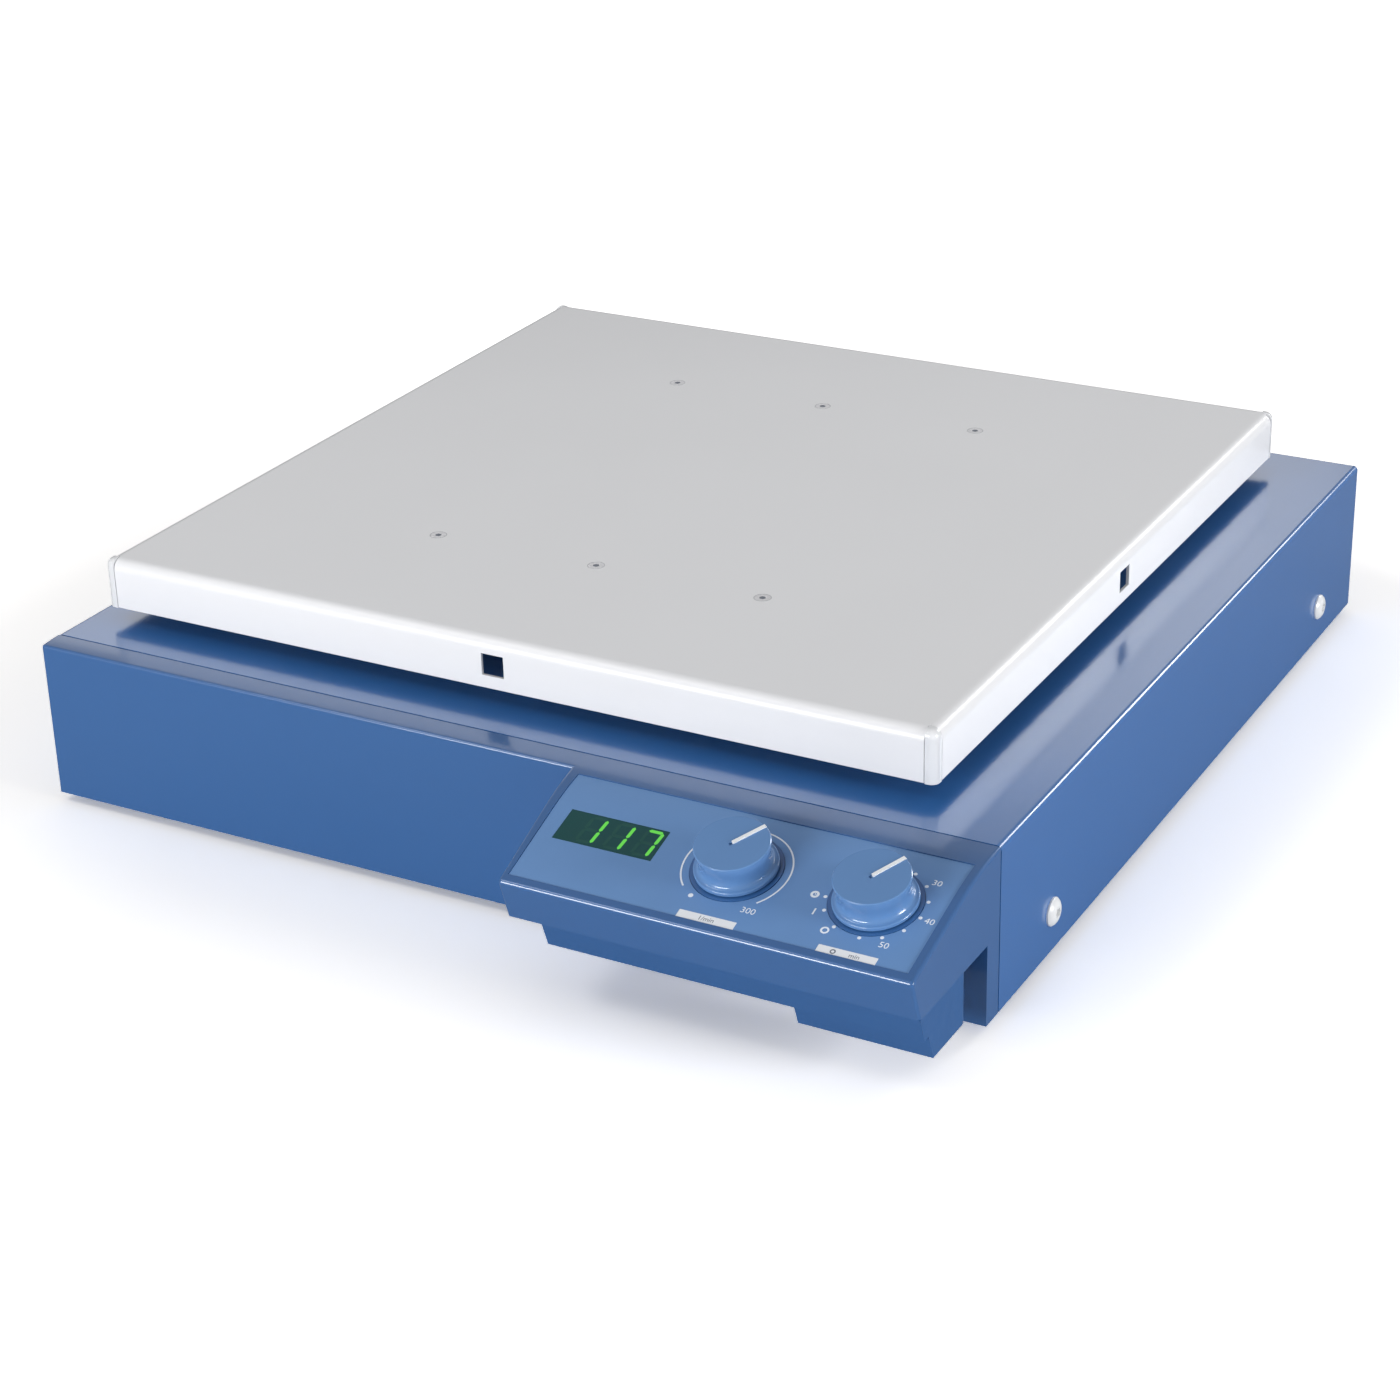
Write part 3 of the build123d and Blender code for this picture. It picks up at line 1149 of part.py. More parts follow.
with BuildPart() as main_bearings:
    for z in (LOWER_BEARING, UPPER_BEARING):
        sealed_bearing(level(z), MAIN_BORE, MAIN_OUTER, MAIN_WIDTH)
main_bearings.part.label = "main_bearings"
export_step(main_bearings.part, "parts/main_bearings.step")

# Main shaft: journal, pulley seat and crank head, turned in one with the eccentric pin
with BuildPart() as main_shaft:
    with BuildSketch(section_at(0, 0)):
        with BuildLine():
            Polyline(
                (0, LOWER_BEARING - 1),
                (MAIN_BORE / 2 - 1, LOWER_BEARING - 1),
                (MAIN_BORE / 2, LOWER_BEARING),
                (MAIN_BORE / 2, HOUSING_TOP),
                (SEAT_RADIUS, HOUSING_TOP),
                (SEAT_RADIUS, PULLEY_TOP),
                (HEAD_RADIUS, PULLEY_TOP),
                (HEAD_RADIUS, HEAD_TOP),
                (0, HEAD_TOP),
                close=True,
            )
        make_face()
    revolve(axis=axis_at(0, 0))
    with BuildSketch(section_at(ORBIT_X, ORBIT_Y)):
        with BuildLine():
            Polyline(
                (0, HEAD_TOP),
                (PIN_SHOULDER_RADIUS, HEAD_TOP),
                (PIN_SHOULDER_RADIUS, TABLE_BEARING),
                (HUB_BORE / 2, TABLE_BEARING),
                (HUB_BORE / 2, TABLE_BEARING + HUB_WIDTH + PIN_END - 1),
                (HUB_BORE / 2 - 1, TABLE_BEARING + HUB_WIDTH + PIN_END),
                (0, TABLE_BEARING + HUB_WIDTH + PIN_END),
                close=True,
            )
        make_face()
    revolve(axis=axis_at(ORBIT_X, ORBIT_Y))
main_shaft.part.label = "main_shaft"
export_step(main_shaft.part, "parts/main_shaft.step")

# Driven pulley: grooved rim, web flush with the top, hub on the shaft's seat
with BuildPart() as driven_pulley:
    with BuildSketch(section_at(0, 0)):
        with BuildLine():
            Polyline(*grooved_rim(PULLEY_RADIUS, PULLEY_RADIUS - PULLEY_RIM, PULLEY_BOTTOM), close=True)
        make_face()
        with BuildLine():
            Polyline(
                (SEAT_RADIUS + PRESS_FIT, PULLEY_BOTTOM),
                (PULLEY_HUB_RADIUS, PULLEY_BOTTOM),
                (PULLEY_HUB_RADIUS, PULLEY_TOP - PULLEY_WEB),
                (PULLEY_RADIUS - PULLEY_RIM, PULLEY_TOP - PULLEY_WEB),
                (PULLEY_RADIUS - PULLEY_RIM, PULLEY_TOP),
                (SEAT_RADIUS + PRESS_FIT, PULLEY_TOP),
                close=True,
            )
        make_face()
    revolve(axis=axis_at(0, 0))
    with BuildSketch(level(PULLEY_TOP)):
        with PolarLocations((PULLEY_HUB_RADIUS + PULLEY_RADIUS - PULLEY_RIM) / 2, WINDOW_COUNT):
            Circle(LIGHTENING_RADIUS)
    extrude(amount=-PULLEY_WEB, mode=Mode.SUBTRACT)
driven_pulley.part.label = "driven_pulley"
export_step(driven_pulley.part, "parts/driven_pulley.step")

# Counterweight: a ring sector on the pulley's web, opposite the eccentric pin
WEIGHT_MIDDLE = REST_PHASE + 180
WEIGHT_SCREW_CIRCLE = (WEIGHT_INNER_RADIUS + WEIGHT_OUTER_RADIUS) / 2
with BuildPart() as counterweight:
    with BuildSketch(level(PULLEY_TOP)):
        with BuildLine():
            start = WEIGHT_MIDDLE - WEIGHT_ARC / 2
            rim = CenterArc((0, 0), WEIGHT_OUTER_RADIUS, start, WEIGHT_ARC)
            inside = CenterArc((0, 0), WEIGHT_INNER_RADIUS, start, WEIGHT_ARC)
            Line(rim @ 0, inside @ 0)
            Line(rim @ 1, inside @ 1)
        make_face()
        with PolarLocations(WEIGHT_SCREW_CIRCLE / 1.3, 3, start_angle=WEIGHT_MIDDLE - 60, angular_range=180):
            Circle(WEIGHT_SCREW / 2 + HOLE_FIT, mode=Mode.SUBTRACT)
    extrude(amount=WEIGHT_THICKNESS)
counterweight.part.label = "counterweight"
export_step(counterweight.part, "parts/counterweight.step")

with BuildPart() as counterweight_screws:
    with BuildSketch(level(PULLEY_TOP + WEIGHT_THICKNESS)):
        with PolarLocations(WEIGHT_SCREW_CIRCLE / 1.3, 3, start_angle=WEIGHT_MIDDLE - 60, angular_range=180):
            RegularPolygon(WEIGHT_SCREW * 0.9, 6)
    extrude(amount=WEIGHT_SCREW / 3)
    with BuildSketch(level(PULLEY_TOP + WEIGHT_THICKNESS)):
        with PolarLocations(WEIGHT_SCREW_CIRCLE / 1.3, 3, start_angle=WEIGHT_MIDDLE - 60, angular_range=180):
            Circle(WEIGHT_SCREW / 2)
    extrude(amount=-WEIGHT_THICKNESS)
counterweight_screws.part.label = "counterweight_screws"
export_step(counterweight_screws.part, "parts/counterweight_screws.step")

# Motor bracket: a folded bridge that carries the flat motor under its top
with BuildPart() as motor_bracket:
    with BuildSketch(facing_back(MOTOR_DISTANCE - BRACKET_LENGTH / 2)):
        with BuildLine():
            outer = BRACKET_HALF_WIDTH
            inner = BRACKET_HALF_WIDTH - BRACKET_SHEET
            Polyline(
                (0, BRACKET_TOP),
                (outer, BRACKET_TOP),
                (outer, PAN_TOP + BRACKET_SHEET),
                (outer + BRACKET_FOOT, PAN_TOP + BRACKET_SHEET),
                (outer + BRACKET_FOOT, PAN_TOP),
                (inner, PAN_TOP),
                (inner, BRACKET_TOP - BRACKET_SHEET),
                (0, BRACKET_TOP - BRACKET_SHEET),
            )
            mirror(about=Plane.YZ)
        make_face()
    extrude(amount=BRACKET_LENGTH)
    with BuildSketch(level(BRACKET_TOP)):
        with Locations((0, MOTOR_DISTANCE)):
            SlotOverall(2 * MOTOR_BOSS_RADIUS + 8, 2 * MOTOR_BOSS_RADIUS + 2, rotation=90)
            with PolarLocations(MOTOR_BOLT_CIRCLE / 2, 4, rotate=False):
                SlotOverall(MOTOR_SCREW + 5, MOTOR_SCREW + 2 * HOLE_FIT, rotation=90)
    extrude(amount=-BRACKET_SHEET, mode=Mode.SUBTRACT)
motor_bracket.part.label = "motor_bracket"
export_step(motor_bracket.part, "parts/motor_bracket.step")

# Flat motor: drawn can with a boss that stands up through the bracket
MOTOR_TOP = BRACKET_TOP - BRACKET_SHEET
with BuildPart() as motor_housing:
    with BuildSketch(section_at(0, MOTOR_DISTANCE)):
        with BuildLine():
            Polyline(
                (MOTOR_SHAFT_RADIUS + RUNNING_FIT, MOTOR_TOP - MOTOR_HEIGHT + MOTOR_EDGE),
                (MOTOR_SHAFT_RADIUS + RUNNING_FIT, BRACKET_TOP),
                (MOTOR_BOSS_RADIUS, BRACKET_TOP),
                (MOTOR_BOSS_RADIUS, MOTOR_TOP),
                (MOTOR_RADIUS - MOTOR_EDGE, MOTOR_TOP),
                (MOTOR_RADIUS, MOTOR_TOP - MOTOR_EDGE),
                (MOTOR_RADIUS, MOTOR_TOP - MOTOR_HEIGHT * 0.6),
                (MOTOR_RADIUS - MOTOR_EDGE / 2, MOTOR_TOP - MOTOR_HEIGHT * 0.6),
                (MOTOR_RADIUS - MOTOR_EDGE / 2, MOTOR_TOP - MOTOR_HEIGHT),
                (0, MOTOR_TOP - MOTOR_HEIGHT),
                (0, MOTOR_TOP - MOTOR_HEIGHT + MOTOR_EDGE),
                close=True,
            )
        make_face()
    revolve(axis=axis_at(0, MOTOR_DISTANCE))
    with BuildSketch(level(MOTOR_TOP)):
        with Locations((0, MOTOR_DISTANCE)):
            with PolarLocations(MOTOR_BOLT_CIRCLE / 2, 4):
                Circle(MOTOR_SCREW / 2)
    extrude(amount=-MOTOR_SCREW * 2, mode=Mode.SUBTRACT)
motor_housing.part.label = "motor_housing"
export_step(motor_housing.part, "parts/motor_housing.step")

with BuildPart() as motor_screws:
    with BuildSketch(level(BRACKET_TOP)):
        with Locations((0, MOTOR_DISTANCE)):
            with PolarLocations(MOTOR_BOLT_CIRCLE / 2, 4):
                Circle(MOTOR_SCREW * 0.9)
    extrude(amount=MOTOR_SCREW * 0.6)
    with BuildSketch(level(BRACKET_TOP)):
        with Locations((0, MOTOR_DISTANCE)):
            with PolarLocations(MOTOR_BOLT_CIRCLE / 2, 4):
                Circle(MOTOR_SCREW / 2)
    extrude(amount=-BRACKET_SHEET - MOTOR_SCREW * 1.5)
motor_screws.part.label = "motor_screws"
export_step(motor_screws.part, "parts/motor_screws.step")

# Motor shaft and its small grooved pulley
with BuildPart() as motor_shaft:
    with BuildSketch(level(MOTOR_TOP - MOTOR_HEIGHT + MOTOR_EDGE + 0.5)):
        with Locations((0, MOTOR_DISTANCE)):
            Circle(MOTOR_SHAFT_RADIUS)
    extrude(amount=PULLEY_TOP + 1 - (MOTOR_TOP - MOTOR_HEIGHT + MOTOR_EDGE + 0.5))
motor_shaft.part.label = "motor_shaft"
export_step(motor_shaft.part, "parts/motor_shaft.step")

with BuildPart() as motor_pulley:
    with BuildSketch(section_at(0, MOTOR_DISTANCE)):
        with BuildLine():
            Polyline(
                *grooved_rim(MOTOR_PULLEY_RADIUS, MOTOR_SHAFT_RADIUS + PRESS_FIT, PULLEY_BOTTOM),
                close=True,
            )
        make_face()
    revolve(axis=axis_at(0, MOTOR_DISTANCE))
motor_pulley.part.label = "motor_pulley"
export_step(motor_pulley.part, "parts/motor_pulley.step")

# Ribbed belt: its section, swept along the two arcs and the two straights between the pulleys
BELT_ANGLE = asin((PULLEY_RADIUS - MOTOR_PULLEY_RADIUS) / MOTOR_DISTANCE)
with BuildPart() as drive_belt:
    with BuildLine(level(PULLEY_BOTTOM + PULLEY_WIDTH / 2)) as belt_path:
        away_x = cos(BELT_ANGLE)
        away_y = sin(BELT_ANGLE)
        large_x = PULLEY_RADIUS * away_x
        large_y = PULLEY_RADIUS * away_y
        small_x = MOTOR_PULLEY_RADIUS * away_x
        small_y = MOTOR_DISTANCE + MOTOR_PULLEY_RADIUS * away_y
        wrap = 180 - 2 * degrees(BELT_ANGLE)
        Line((large_x, large_y), (small_x, small_y))
        CenterArc((0, MOTOR_DISTANCE), MOTOR_PULLEY_RADIUS, degrees(BELT_ANGLE), wrap)
        Line((-small_x, small_y), (-large_x, large_y))
        CenterArc((0, 0), PULLEY_RADIUS, 180 - degrees(BELT_ANGLE), 360 - wrap)
    with BuildSketch(
        Plane(
            origin=(large_x, ORIGIN_Y + large_y, PULLEY_BOTTOM + PULLEY_WIDTH / 2),
            x_dir=(away_x, away_y, 0),
            z_dir=(-away_y, away_x, 0),
        )
    ):
        half_width = PULLEY_WIDTH / 2 - PULLEY_LAND / 2
        points = [(BELT_BACK, half_width), (BELT_BACK, -half_width), (BELT_FIT, -half_width)]
        for height in rib_heights():
            middle = height - PULLEY_WIDTH / 2
            points.append((BELT_FIT, middle - 0.33 * RIB_PITCH))
            points.append((BELT_FIT - RIB_DEPTH * 0.85, middle - 0.08 * RIB_PITCH))
            points.append((BELT_FIT - RIB_DEPTH * 0.85, middle + 0.08 * RIB_PITCH))
            points.append((BELT_FIT, middle + 0.33 * RIB_PITCH))
        points.append((BELT_FIT, half_width))
        with BuildLine():
            Polyline(*points, close=True)
        make_face()
    sweep(path=belt_path.edges())
drive_belt.part.label = "drive_belt"
export_step(drive_belt.part, "parts/drive_belt.step")

# Housings, bolts and bearings of the four auxiliary cranks
with BuildPart() as crank_housings:
    for x, y in CRANK_PLACES:
        bore = CRANK_OUTER / 2
        with BuildSketch(section_at(x, y)):
            with BuildLine():
                Polyline(
                    (bore, PAN_TOP),
                    (CRANK_FLANGE_RADIUS, PAN_TOP),
                    (CRANK_FLANGE_RADIUS, PAN_TOP + CRANK_FLANGE),
                    (bore + CRANK_HOUSING_WALL, PAN_TOP + CRANK_FLANGE),
                    (bore + CRANK_HOUSING_WALL, CRANK_HOUSING_TOP),
                    (bore, CRANK_HOUSING_TOP),
                    (bore, CRANK_UPPER_BEARING),
                    (bore - HOUSING_SHOULDER, CRANK_UPPER_BEARING),
                    (bore - HOUSING_SHOULDER, LOWER_BEARING + CRANK_WIDTH),
                    (bore, LOWER_BEARING + CRANK_WIDTH),
                    close=True,
                )
            make_face()
        revolve(axis=axis_at(x, y))
        with BuildSketch(level(PAN_TOP)):
            with Locations((x, y)):
                with PolarLocations(CRANK_BOLT_CIRCLE / 2, 3, start_angle=30):
                    Circle(CRANK_BOLT / 2 + HOLE_FIT)
        extrude(amount=CRANK_FLANGE, mode=Mode.SUBTRACT)
crank_housings.part.label = "crank_housings"
export_step(crank_housings.part, "parts/crank_housings.step")

with BuildPart() as crank_housing_bolts:
    with BuildSketch(level(PAN_TOP + CRANK_FLANGE)):
        with Locations(*CRANK_PLACES):
            with PolarLocations(CRANK_BOLT_CIRCLE / 2, 3, start_angle=30):
                RegularPolygon(CRANK_BOLT * HEX_HEAD * 1.4, 6)
    extrude(amount=CRANK_BOLT * HEX_HEAD)
    with BuildSketch(level(PAN_TOP + CRANK_FLANGE)):
        with Locations(*CRANK_PLACES):
            with PolarLocations(CRANK_BOLT_CIRCLE / 2, 3, start_angle=30):
                Circle(CRANK_BOLT / 2)
    extrude(amount=-CRANK_FLANGE)
crank_housing_bolts.part.label = "crank_housing_bolts"
export_step(crank_housing_bolts.part, "parts/crank_housing_bolts.step")

with BuildPart() as crank_bearings:
    for x, y in CRANK_PLACES:
        for z in (LOWER_BEARING, CRANK_UPPER_BEARING):
            seat = level(z)
            sealed_bearing(
                seat.shift_origin(seat.from_local_coords((x, y, 0))), CRANK_BORE, CRANK_OUTER, CRANK_WIDTH
            )
crank_bearings.part.label = "crank_bearings"
export_step(crank_bearings.part, "parts/crank_bearings.step")


def auxiliary_crank(x, y):
    """One crank: lower journal and collar, a rounded arm, and the upper pin one orbit away."""
    with BuildSketch(section_at(x, y)) as journal:
        with BuildLine():
            Polyline(
                (0, LOWER_BEARING - 1),
                (CRANK_BORE / 2, LOWER_BEARING - 1),
                (CRANK_BORE / 2, CRANK_HOUSING_TOP),
                (CRANK_COLLAR_RADIUS, CRANK_HOUSING_TOP),
                (CRANK_COLLAR_RADIUS, ARM_BOTTOM),
                (0, ARM_BOTTOM),
                close=True,
            )
        make_face()
    revolve(journal.sketch, axis=axis_at(x, y))
    with BuildSketch(level(ARM_BOTTOM)) as arm:
        with Locations((x, y), (x + ORBIT_X, y + ORBIT_Y)):
            Circle(CRANK_ARM_RADIUS)
        make_hull()
    extrude(arm.sketch, amount=CRANK_ARM)
    with BuildSketch(section_at(x + ORBIT_X, y + ORBIT_Y)) as pin:
        with BuildLine():
            Polyline(
                (0, ARM_TOP),
                (CRANK_COLLAR_RADIUS, ARM_TOP),
                (CRANK_COLLAR_RADIUS, TABLE_BEARING - OPEN_PIVOT_FIT),
                (CRANK_BORE / 2 - OPEN_PIVOT_FIT, TABLE_BEARING - OPEN_PIVOT_FIT),
                (CRANK_BORE / 2 - OPEN_PIVOT_FIT, TABLE_BEARING + CRANK_WIDTH + PIN_END),
                (0, TABLE_BEARING + CRANK_WIDTH + PIN_END),
                close=True,
            )
        make_face()
    revolve(pin.sketch, axis=axis_at(x + ORBIT_X, y + ORBIT_Y))


with BuildPart() as front_left_crank:
    auxiliary_crank(*CRANKS["front_left_crank"])
front_left_crank.part.label = "front_left_crank"
export_step(front_left_crank.part, "parts/front_left_crank.step")

with BuildPart() as front_right_crank:
    auxiliary_crank(*CRANKS["front_right_crank"])
front_right_crank.part.label = "front_right_crank"
export_step(front_right_crank.part, "parts/front_right_crank.step")

with BuildPart() as rear_left_crank:
    auxiliary_crank(*CRANKS["rear_left_crank"])
rear_left_crank.part.label = "rear_left_crank"
export_step(rear_left_crank.part, "parts/rear_left_crank.step")

with BuildPart() as rear_right_crank:
    auxiliary_crank(*CRANKS["rear_right_crank"])
rear_right_crank.part.label = "rear_right_crank"
export_step(rear_right_crank.part, "parts/rear_right_crank.step")

# Table frame: a hollow casting under the tray, two rails and a beam, with a barrel for each bearing
with BuildPart() as table_frame:
    with BuildSketch(table_level(FRAME_FOOT)) as frame_outline:
        with GridLocations(1, 2 * CRANK_Y, 1, 2):
            RectangleRounded(RAIL_LENGTH, RAIL_WIDTH, RAIL_WIDTH / 4)
        Rectangle(BEAM_WIDTH, 2 * CRANK_Y)
    extrude(amount=FRAME_HEIGHT)
    with BuildSketch(table_level(FRAME_FOOT)):
        with GridLocations(1, 2 * CRANK_Y, 1, 2):
            RectangleRounded(RAIL_LENGTH - 2 * FRAME_WALL, RAIL_WIDTH - 2 * FRAME_WALL, RAIL_WIDTH / 8)
        Rectangle(BEAM_WIDTH - 2 * FRAME_WALL, 2 * CRANK_Y)
    extrude(amount=FRAME_HEIGHT - FRAME_WALL, mode=Mode.SUBTRACT)
    with BuildSketch(table_level(FRAME_BARREL_FOOT)):
        Circle(HUB_OUTER / 2 + FRAME_BARREL_WALL)
        with Locations(*CRANK_PLACES):
            Circle(CRANK_OUTER / 2 + FRAME_BARREL_WALL)
    extrude(amount=TRAY_UNDERSIDE - FRAME_WALL - FRAME_BARREL_FOOT)
    with BuildSketch(table_level(FRAME_FOOT)):
        with Locations(*TRAY_SCREWS):
            Circle(SCREW_BOSS_RADIUS)
    extrude(amount=FRAME_HEIGHT - FRAME_WALL)
    with BuildSketch(table_level(FRAME_BARREL_FOOT)):
        Circle(HUB_OUTER / 2)
    extrude(amount=TABLE_BEARING + HUB_WIDTH - FRAME_BARREL_FOOT, mode=Mode.SUBTRACT)
    with BuildSketch(table_level(FRAME_BARREL_FOOT)):
        with Locations(*CRANK_PLACES):
            Circle(CRANK_OUTER / 2)
    extrude(amount=TABLE_BEARING + CRANK_WIDTH - FRAME_BARREL_FOOT, mode=Mode.SUBTRACT)
    with BuildSketch(table_level(FRAME_BARREL_FOOT)):
        Circle(HUB_OUTER / 2 - HOUSING_SHOULDER)
        with Locations(*CRANK_PLACES):
            Circle(CRANK_OUTER / 2 - HOUSING_SHOULDER)
    extrude(amount=TRAY_UNDERSIDE - FRAME_BARREL_FOOT, mode=Mode.SUBTRACT)
    with BuildSketch(table_level(TRAY_UNDERSIDE)):
        with Locations(*TRAY_SCREWS):
            Circle(TRAY_SCREW / 2 + PRESS_FIT)
    extrude(amount=-TRAY_SCREW_LENGTH, mode=Mode.SUBTRACT)
table_frame.part.label = "table_frame"
export_step(table_frame.part, "parts/table_frame.step")

with BuildPart() as hub_bearing:
    sealed_bearing(table_level(TABLE_BEARING), HUB_BORE, HUB_OUTER, HUB_WIDTH)
hub_bearing.part.label = "hub_bearing"
export_step(hub_bearing.part, "parts/hub_bearing.step")

with BuildPart() as table_bearings:
    for x, y in CRANK_PLACES:
        seat = table_level(TABLE_BEARING)
        sealed_bearing(
            seat.shift_origin(seat.from_local_coords((x, y, 0))), CRANK_BORE, CRANK_OUTER, CRANK_WIDTH
        )
table_bearings.part.label = "table_bearings"
export_step(table_bearings.part, "parts/table_bearings.step")

# Tray: one folded sheet with wide bends, a square hole in each flange and six countersunk holes
with BuildPart() as tray:
    with BuildSketch(table_level(TRAY_FOOT)):
        Rectangle(TRAY_WIDTH, TRAY_DEPTH)
    extrude(amount=TRAY_SKIRT)
    fillet(tray.faces().sort_by(Axis.Z)[-1].edges(), radius=TRAY_BEND)
    offset(amount=-TRAY_SHEET, openings=tray.faces().sort_by(Axis.Z)[0])
    # Corners left open from top to foot for the corner strips
    with BuildSketch(table_level(TRAY_FOOT)):
        with GridLocations(TRAY_WIDTH - CORNER_STRIP, TRAY_DEPTH - CORNER_STRIP, 2, 2):
            Rectangle(CORNER_STRIP, CORNER_STRIP)
    extrude(amount=TRAY_SKIRT, mode=Mode.SUBTRACT)
    clamp_height = TRAY_TOP - CLAMP_HOLE_DROP
    with BuildSketch(across(ORBIT_X - TRAY_WIDTH / 2)):
        with Locations((ORBIT_Y, clamp_height)):
            Rectangle(CLAMP_HOLE_WIDTH, CLAMP_HOLE_HEIGHT)
    extrude(amount=TRAY_WIDTH, mode=Mode.SUBTRACT)
    with BuildSketch(facing_back(ORBIT_Y - TRAY_DEPTH / 2)):
        with Locations((-ORBIT_X, clamp_height)):
            Rectangle(CLAMP_HOLE_WIDTH, CLAMP_HOLE_HEIGHT)
    extrude(amount=TRAY_DEPTH, mode=Mode.SUBTRACT)
    with BuildSketch(table_level(TRAY_TOP)):
        with Locations(*TRAY_SCREWS):
            Circle(TRAY_SCREW_HEAD / 2 + PRESS_FIT)
    extrude(amount=-TRAY_SHEET, taper=45, mode=Mode.SUBTRACT)
tray.part.label = "tray"
export_step(tray.part, "parts/tray.step")

# Corner strips: domed fingers that close the tray's corners, each with a lip behind the flanges
with BuildPart() as tray_corners:
    with BuildSketch(table_level(TRAY_FOOT - CORNER_DROP)):
        Rectangle(TRAY_WIDTH, TRAY_DEPTH)
    extrude(amount=TRAY_SKIRT + CORNER_DROP)
    fillet(tray_corners.edges().filter_by(Axis.Z), radius=CORNER_ROUND)
    fillet(tray_corners.faces().sort_by(Axis.Z)[-1].edges(), radius=CORNER_ROUND * 0.98)
    with BuildSketch(table_level(TRAY_FOOT - CORNER_DROP)):
        Rectangle(TRAY_WIDTH, TRAY_DEPTH - 2 * CORNER_STRIP + 2 * CORNER_SLIT)
        Rectangle(TRAY_WIDTH - 2 * CORNER_STRIP + 2 * CORNER_SLIT, TRAY_DEPTH)
    extrude(amount=TRAY_SKIRT + CORNER_DROP, mode=Mode.SUBTRACT)
    with BuildSketch(table_level(TRAY_FOOT)):
        inset = 2 * TRAY_SHEET + CORNER_LIP
        with GridLocations(TRAY_WIDTH - inset, TRAY_DEPTH - inset, 2, 2):
            Rectangle(CORNER_LIP, CORNER_LIP)
        Rectangle(TRAY_WIDTH - 4 * TRAY_SHEET, TRAY_DEPTH - 4 * TRAY_SHEET, mode=Mode.SUBTRACT)
    extrude(amount=TRAY_SKIRT - TRAY_BEND - TRAY_SHEET)
tray_corners.part.label = "tray_corners"
export_step(tray_corners.part, "parts/tray_corners.step")

# Tray screws: countersunk heads flush with the tray
with BuildPart() as tray_screws:
    for x, y in TRAY_SCREWS:
        turned = section_at(ORBIT_X + x, ORBIT_Y + y)
        with BuildSketch(turned):
            with BuildLine():
                Polyline(
                    (0, TRAY_TOP),
                    (TRAY_SCREW_HEAD / 2, TRAY_TOP),
                    (TRAY_SCREW_HEAD / 2 - TRAY_SHEET, TRAY_UNDERSIDE),
                    (TRAY_SCREW / 2, TRAY_UNDERSIDE),
                    (TRAY_SCREW / 2, TRAY_UNDERSIDE - TRAY_SCREW_LENGTH + 1),
                    (0, TRAY_UNDERSIDE - TRAY_SCREW_LENGTH + 1),
                    close=True,
                )
            make_face()
        revolve(axis=axis_at(ORBIT_X + x, ORBIT_Y + y))
tray_screws.part.label = "tray_screws"
export_step(tray_screws.part, "parts/tray_screws.step")
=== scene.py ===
import math

import bmesh
import bpy
from mathutils import Matrix, Vector


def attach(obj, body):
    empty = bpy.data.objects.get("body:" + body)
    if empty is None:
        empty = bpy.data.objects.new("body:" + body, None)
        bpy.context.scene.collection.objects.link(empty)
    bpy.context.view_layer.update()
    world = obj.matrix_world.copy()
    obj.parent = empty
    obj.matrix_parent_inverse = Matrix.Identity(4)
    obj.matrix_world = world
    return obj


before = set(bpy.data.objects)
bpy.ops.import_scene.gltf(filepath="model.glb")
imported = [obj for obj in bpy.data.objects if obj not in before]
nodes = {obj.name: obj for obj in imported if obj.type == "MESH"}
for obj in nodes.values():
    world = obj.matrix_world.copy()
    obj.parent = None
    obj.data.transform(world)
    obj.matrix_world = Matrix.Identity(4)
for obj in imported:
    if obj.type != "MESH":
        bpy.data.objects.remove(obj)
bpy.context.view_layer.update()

# Lengths are metres in the frame. MM turns millimetres into them, and ORIGIN_Y is where the point
# that the lengths along y are counted from lies in the frame.
MM = 0.001
ORIGIN_Y = 35.35 * MM
FULL_TURN = 360


def mm(*lengths):
    """Millimetres as a tuple of metres."""
    return tuple(length * MM for length in lengths)


# The console's panel: a slope that bends into the body's top
LIP_Y = -325.2 * MM + ORIGIN_Y
CREST_Y = -235.0 * MM + ORIGIN_Y
BODY_TOP = 86.3 * MM
PANEL_BEND = 150.0 * MM
SLOPE = math.radians(16.35)
BEND_Y = CREST_Y - PANEL_BEND * math.sin(SLOPE)
BEND_Z = BODY_TOP - PANEL_BEND * (1 - math.cos(SLOPE))
LIP_Z = BEND_Z - (BEND_Y - LIP_Y) * math.tan(SLOPE)
BEND_S = (BEND_Y - LIP_Y) / math.cos(SLOPE)

# Ink: a closed layer, sunk a little into what carries it and cut so that it follows the bend
OVERLAY_FACE = -0.4 * MM
INK_THICKNESS = 0.06 * MM
INK_SUNK = 0.02 * MM
INK_STEP = 1.2 * MM
PLATE_INK_FACE = OVERLAY_FACE + INK_THICKNESS / 2
DISC_CORNERS = 24
ARC_STEP = 3.0
RING_STEP = 15.0
TYPE_RESOLUTION = 3
NUMBER_SIZE = 4.6 * MM
UNIT_SIZE = 3.4 * MM
WELD_DISTANCE = 1e-6

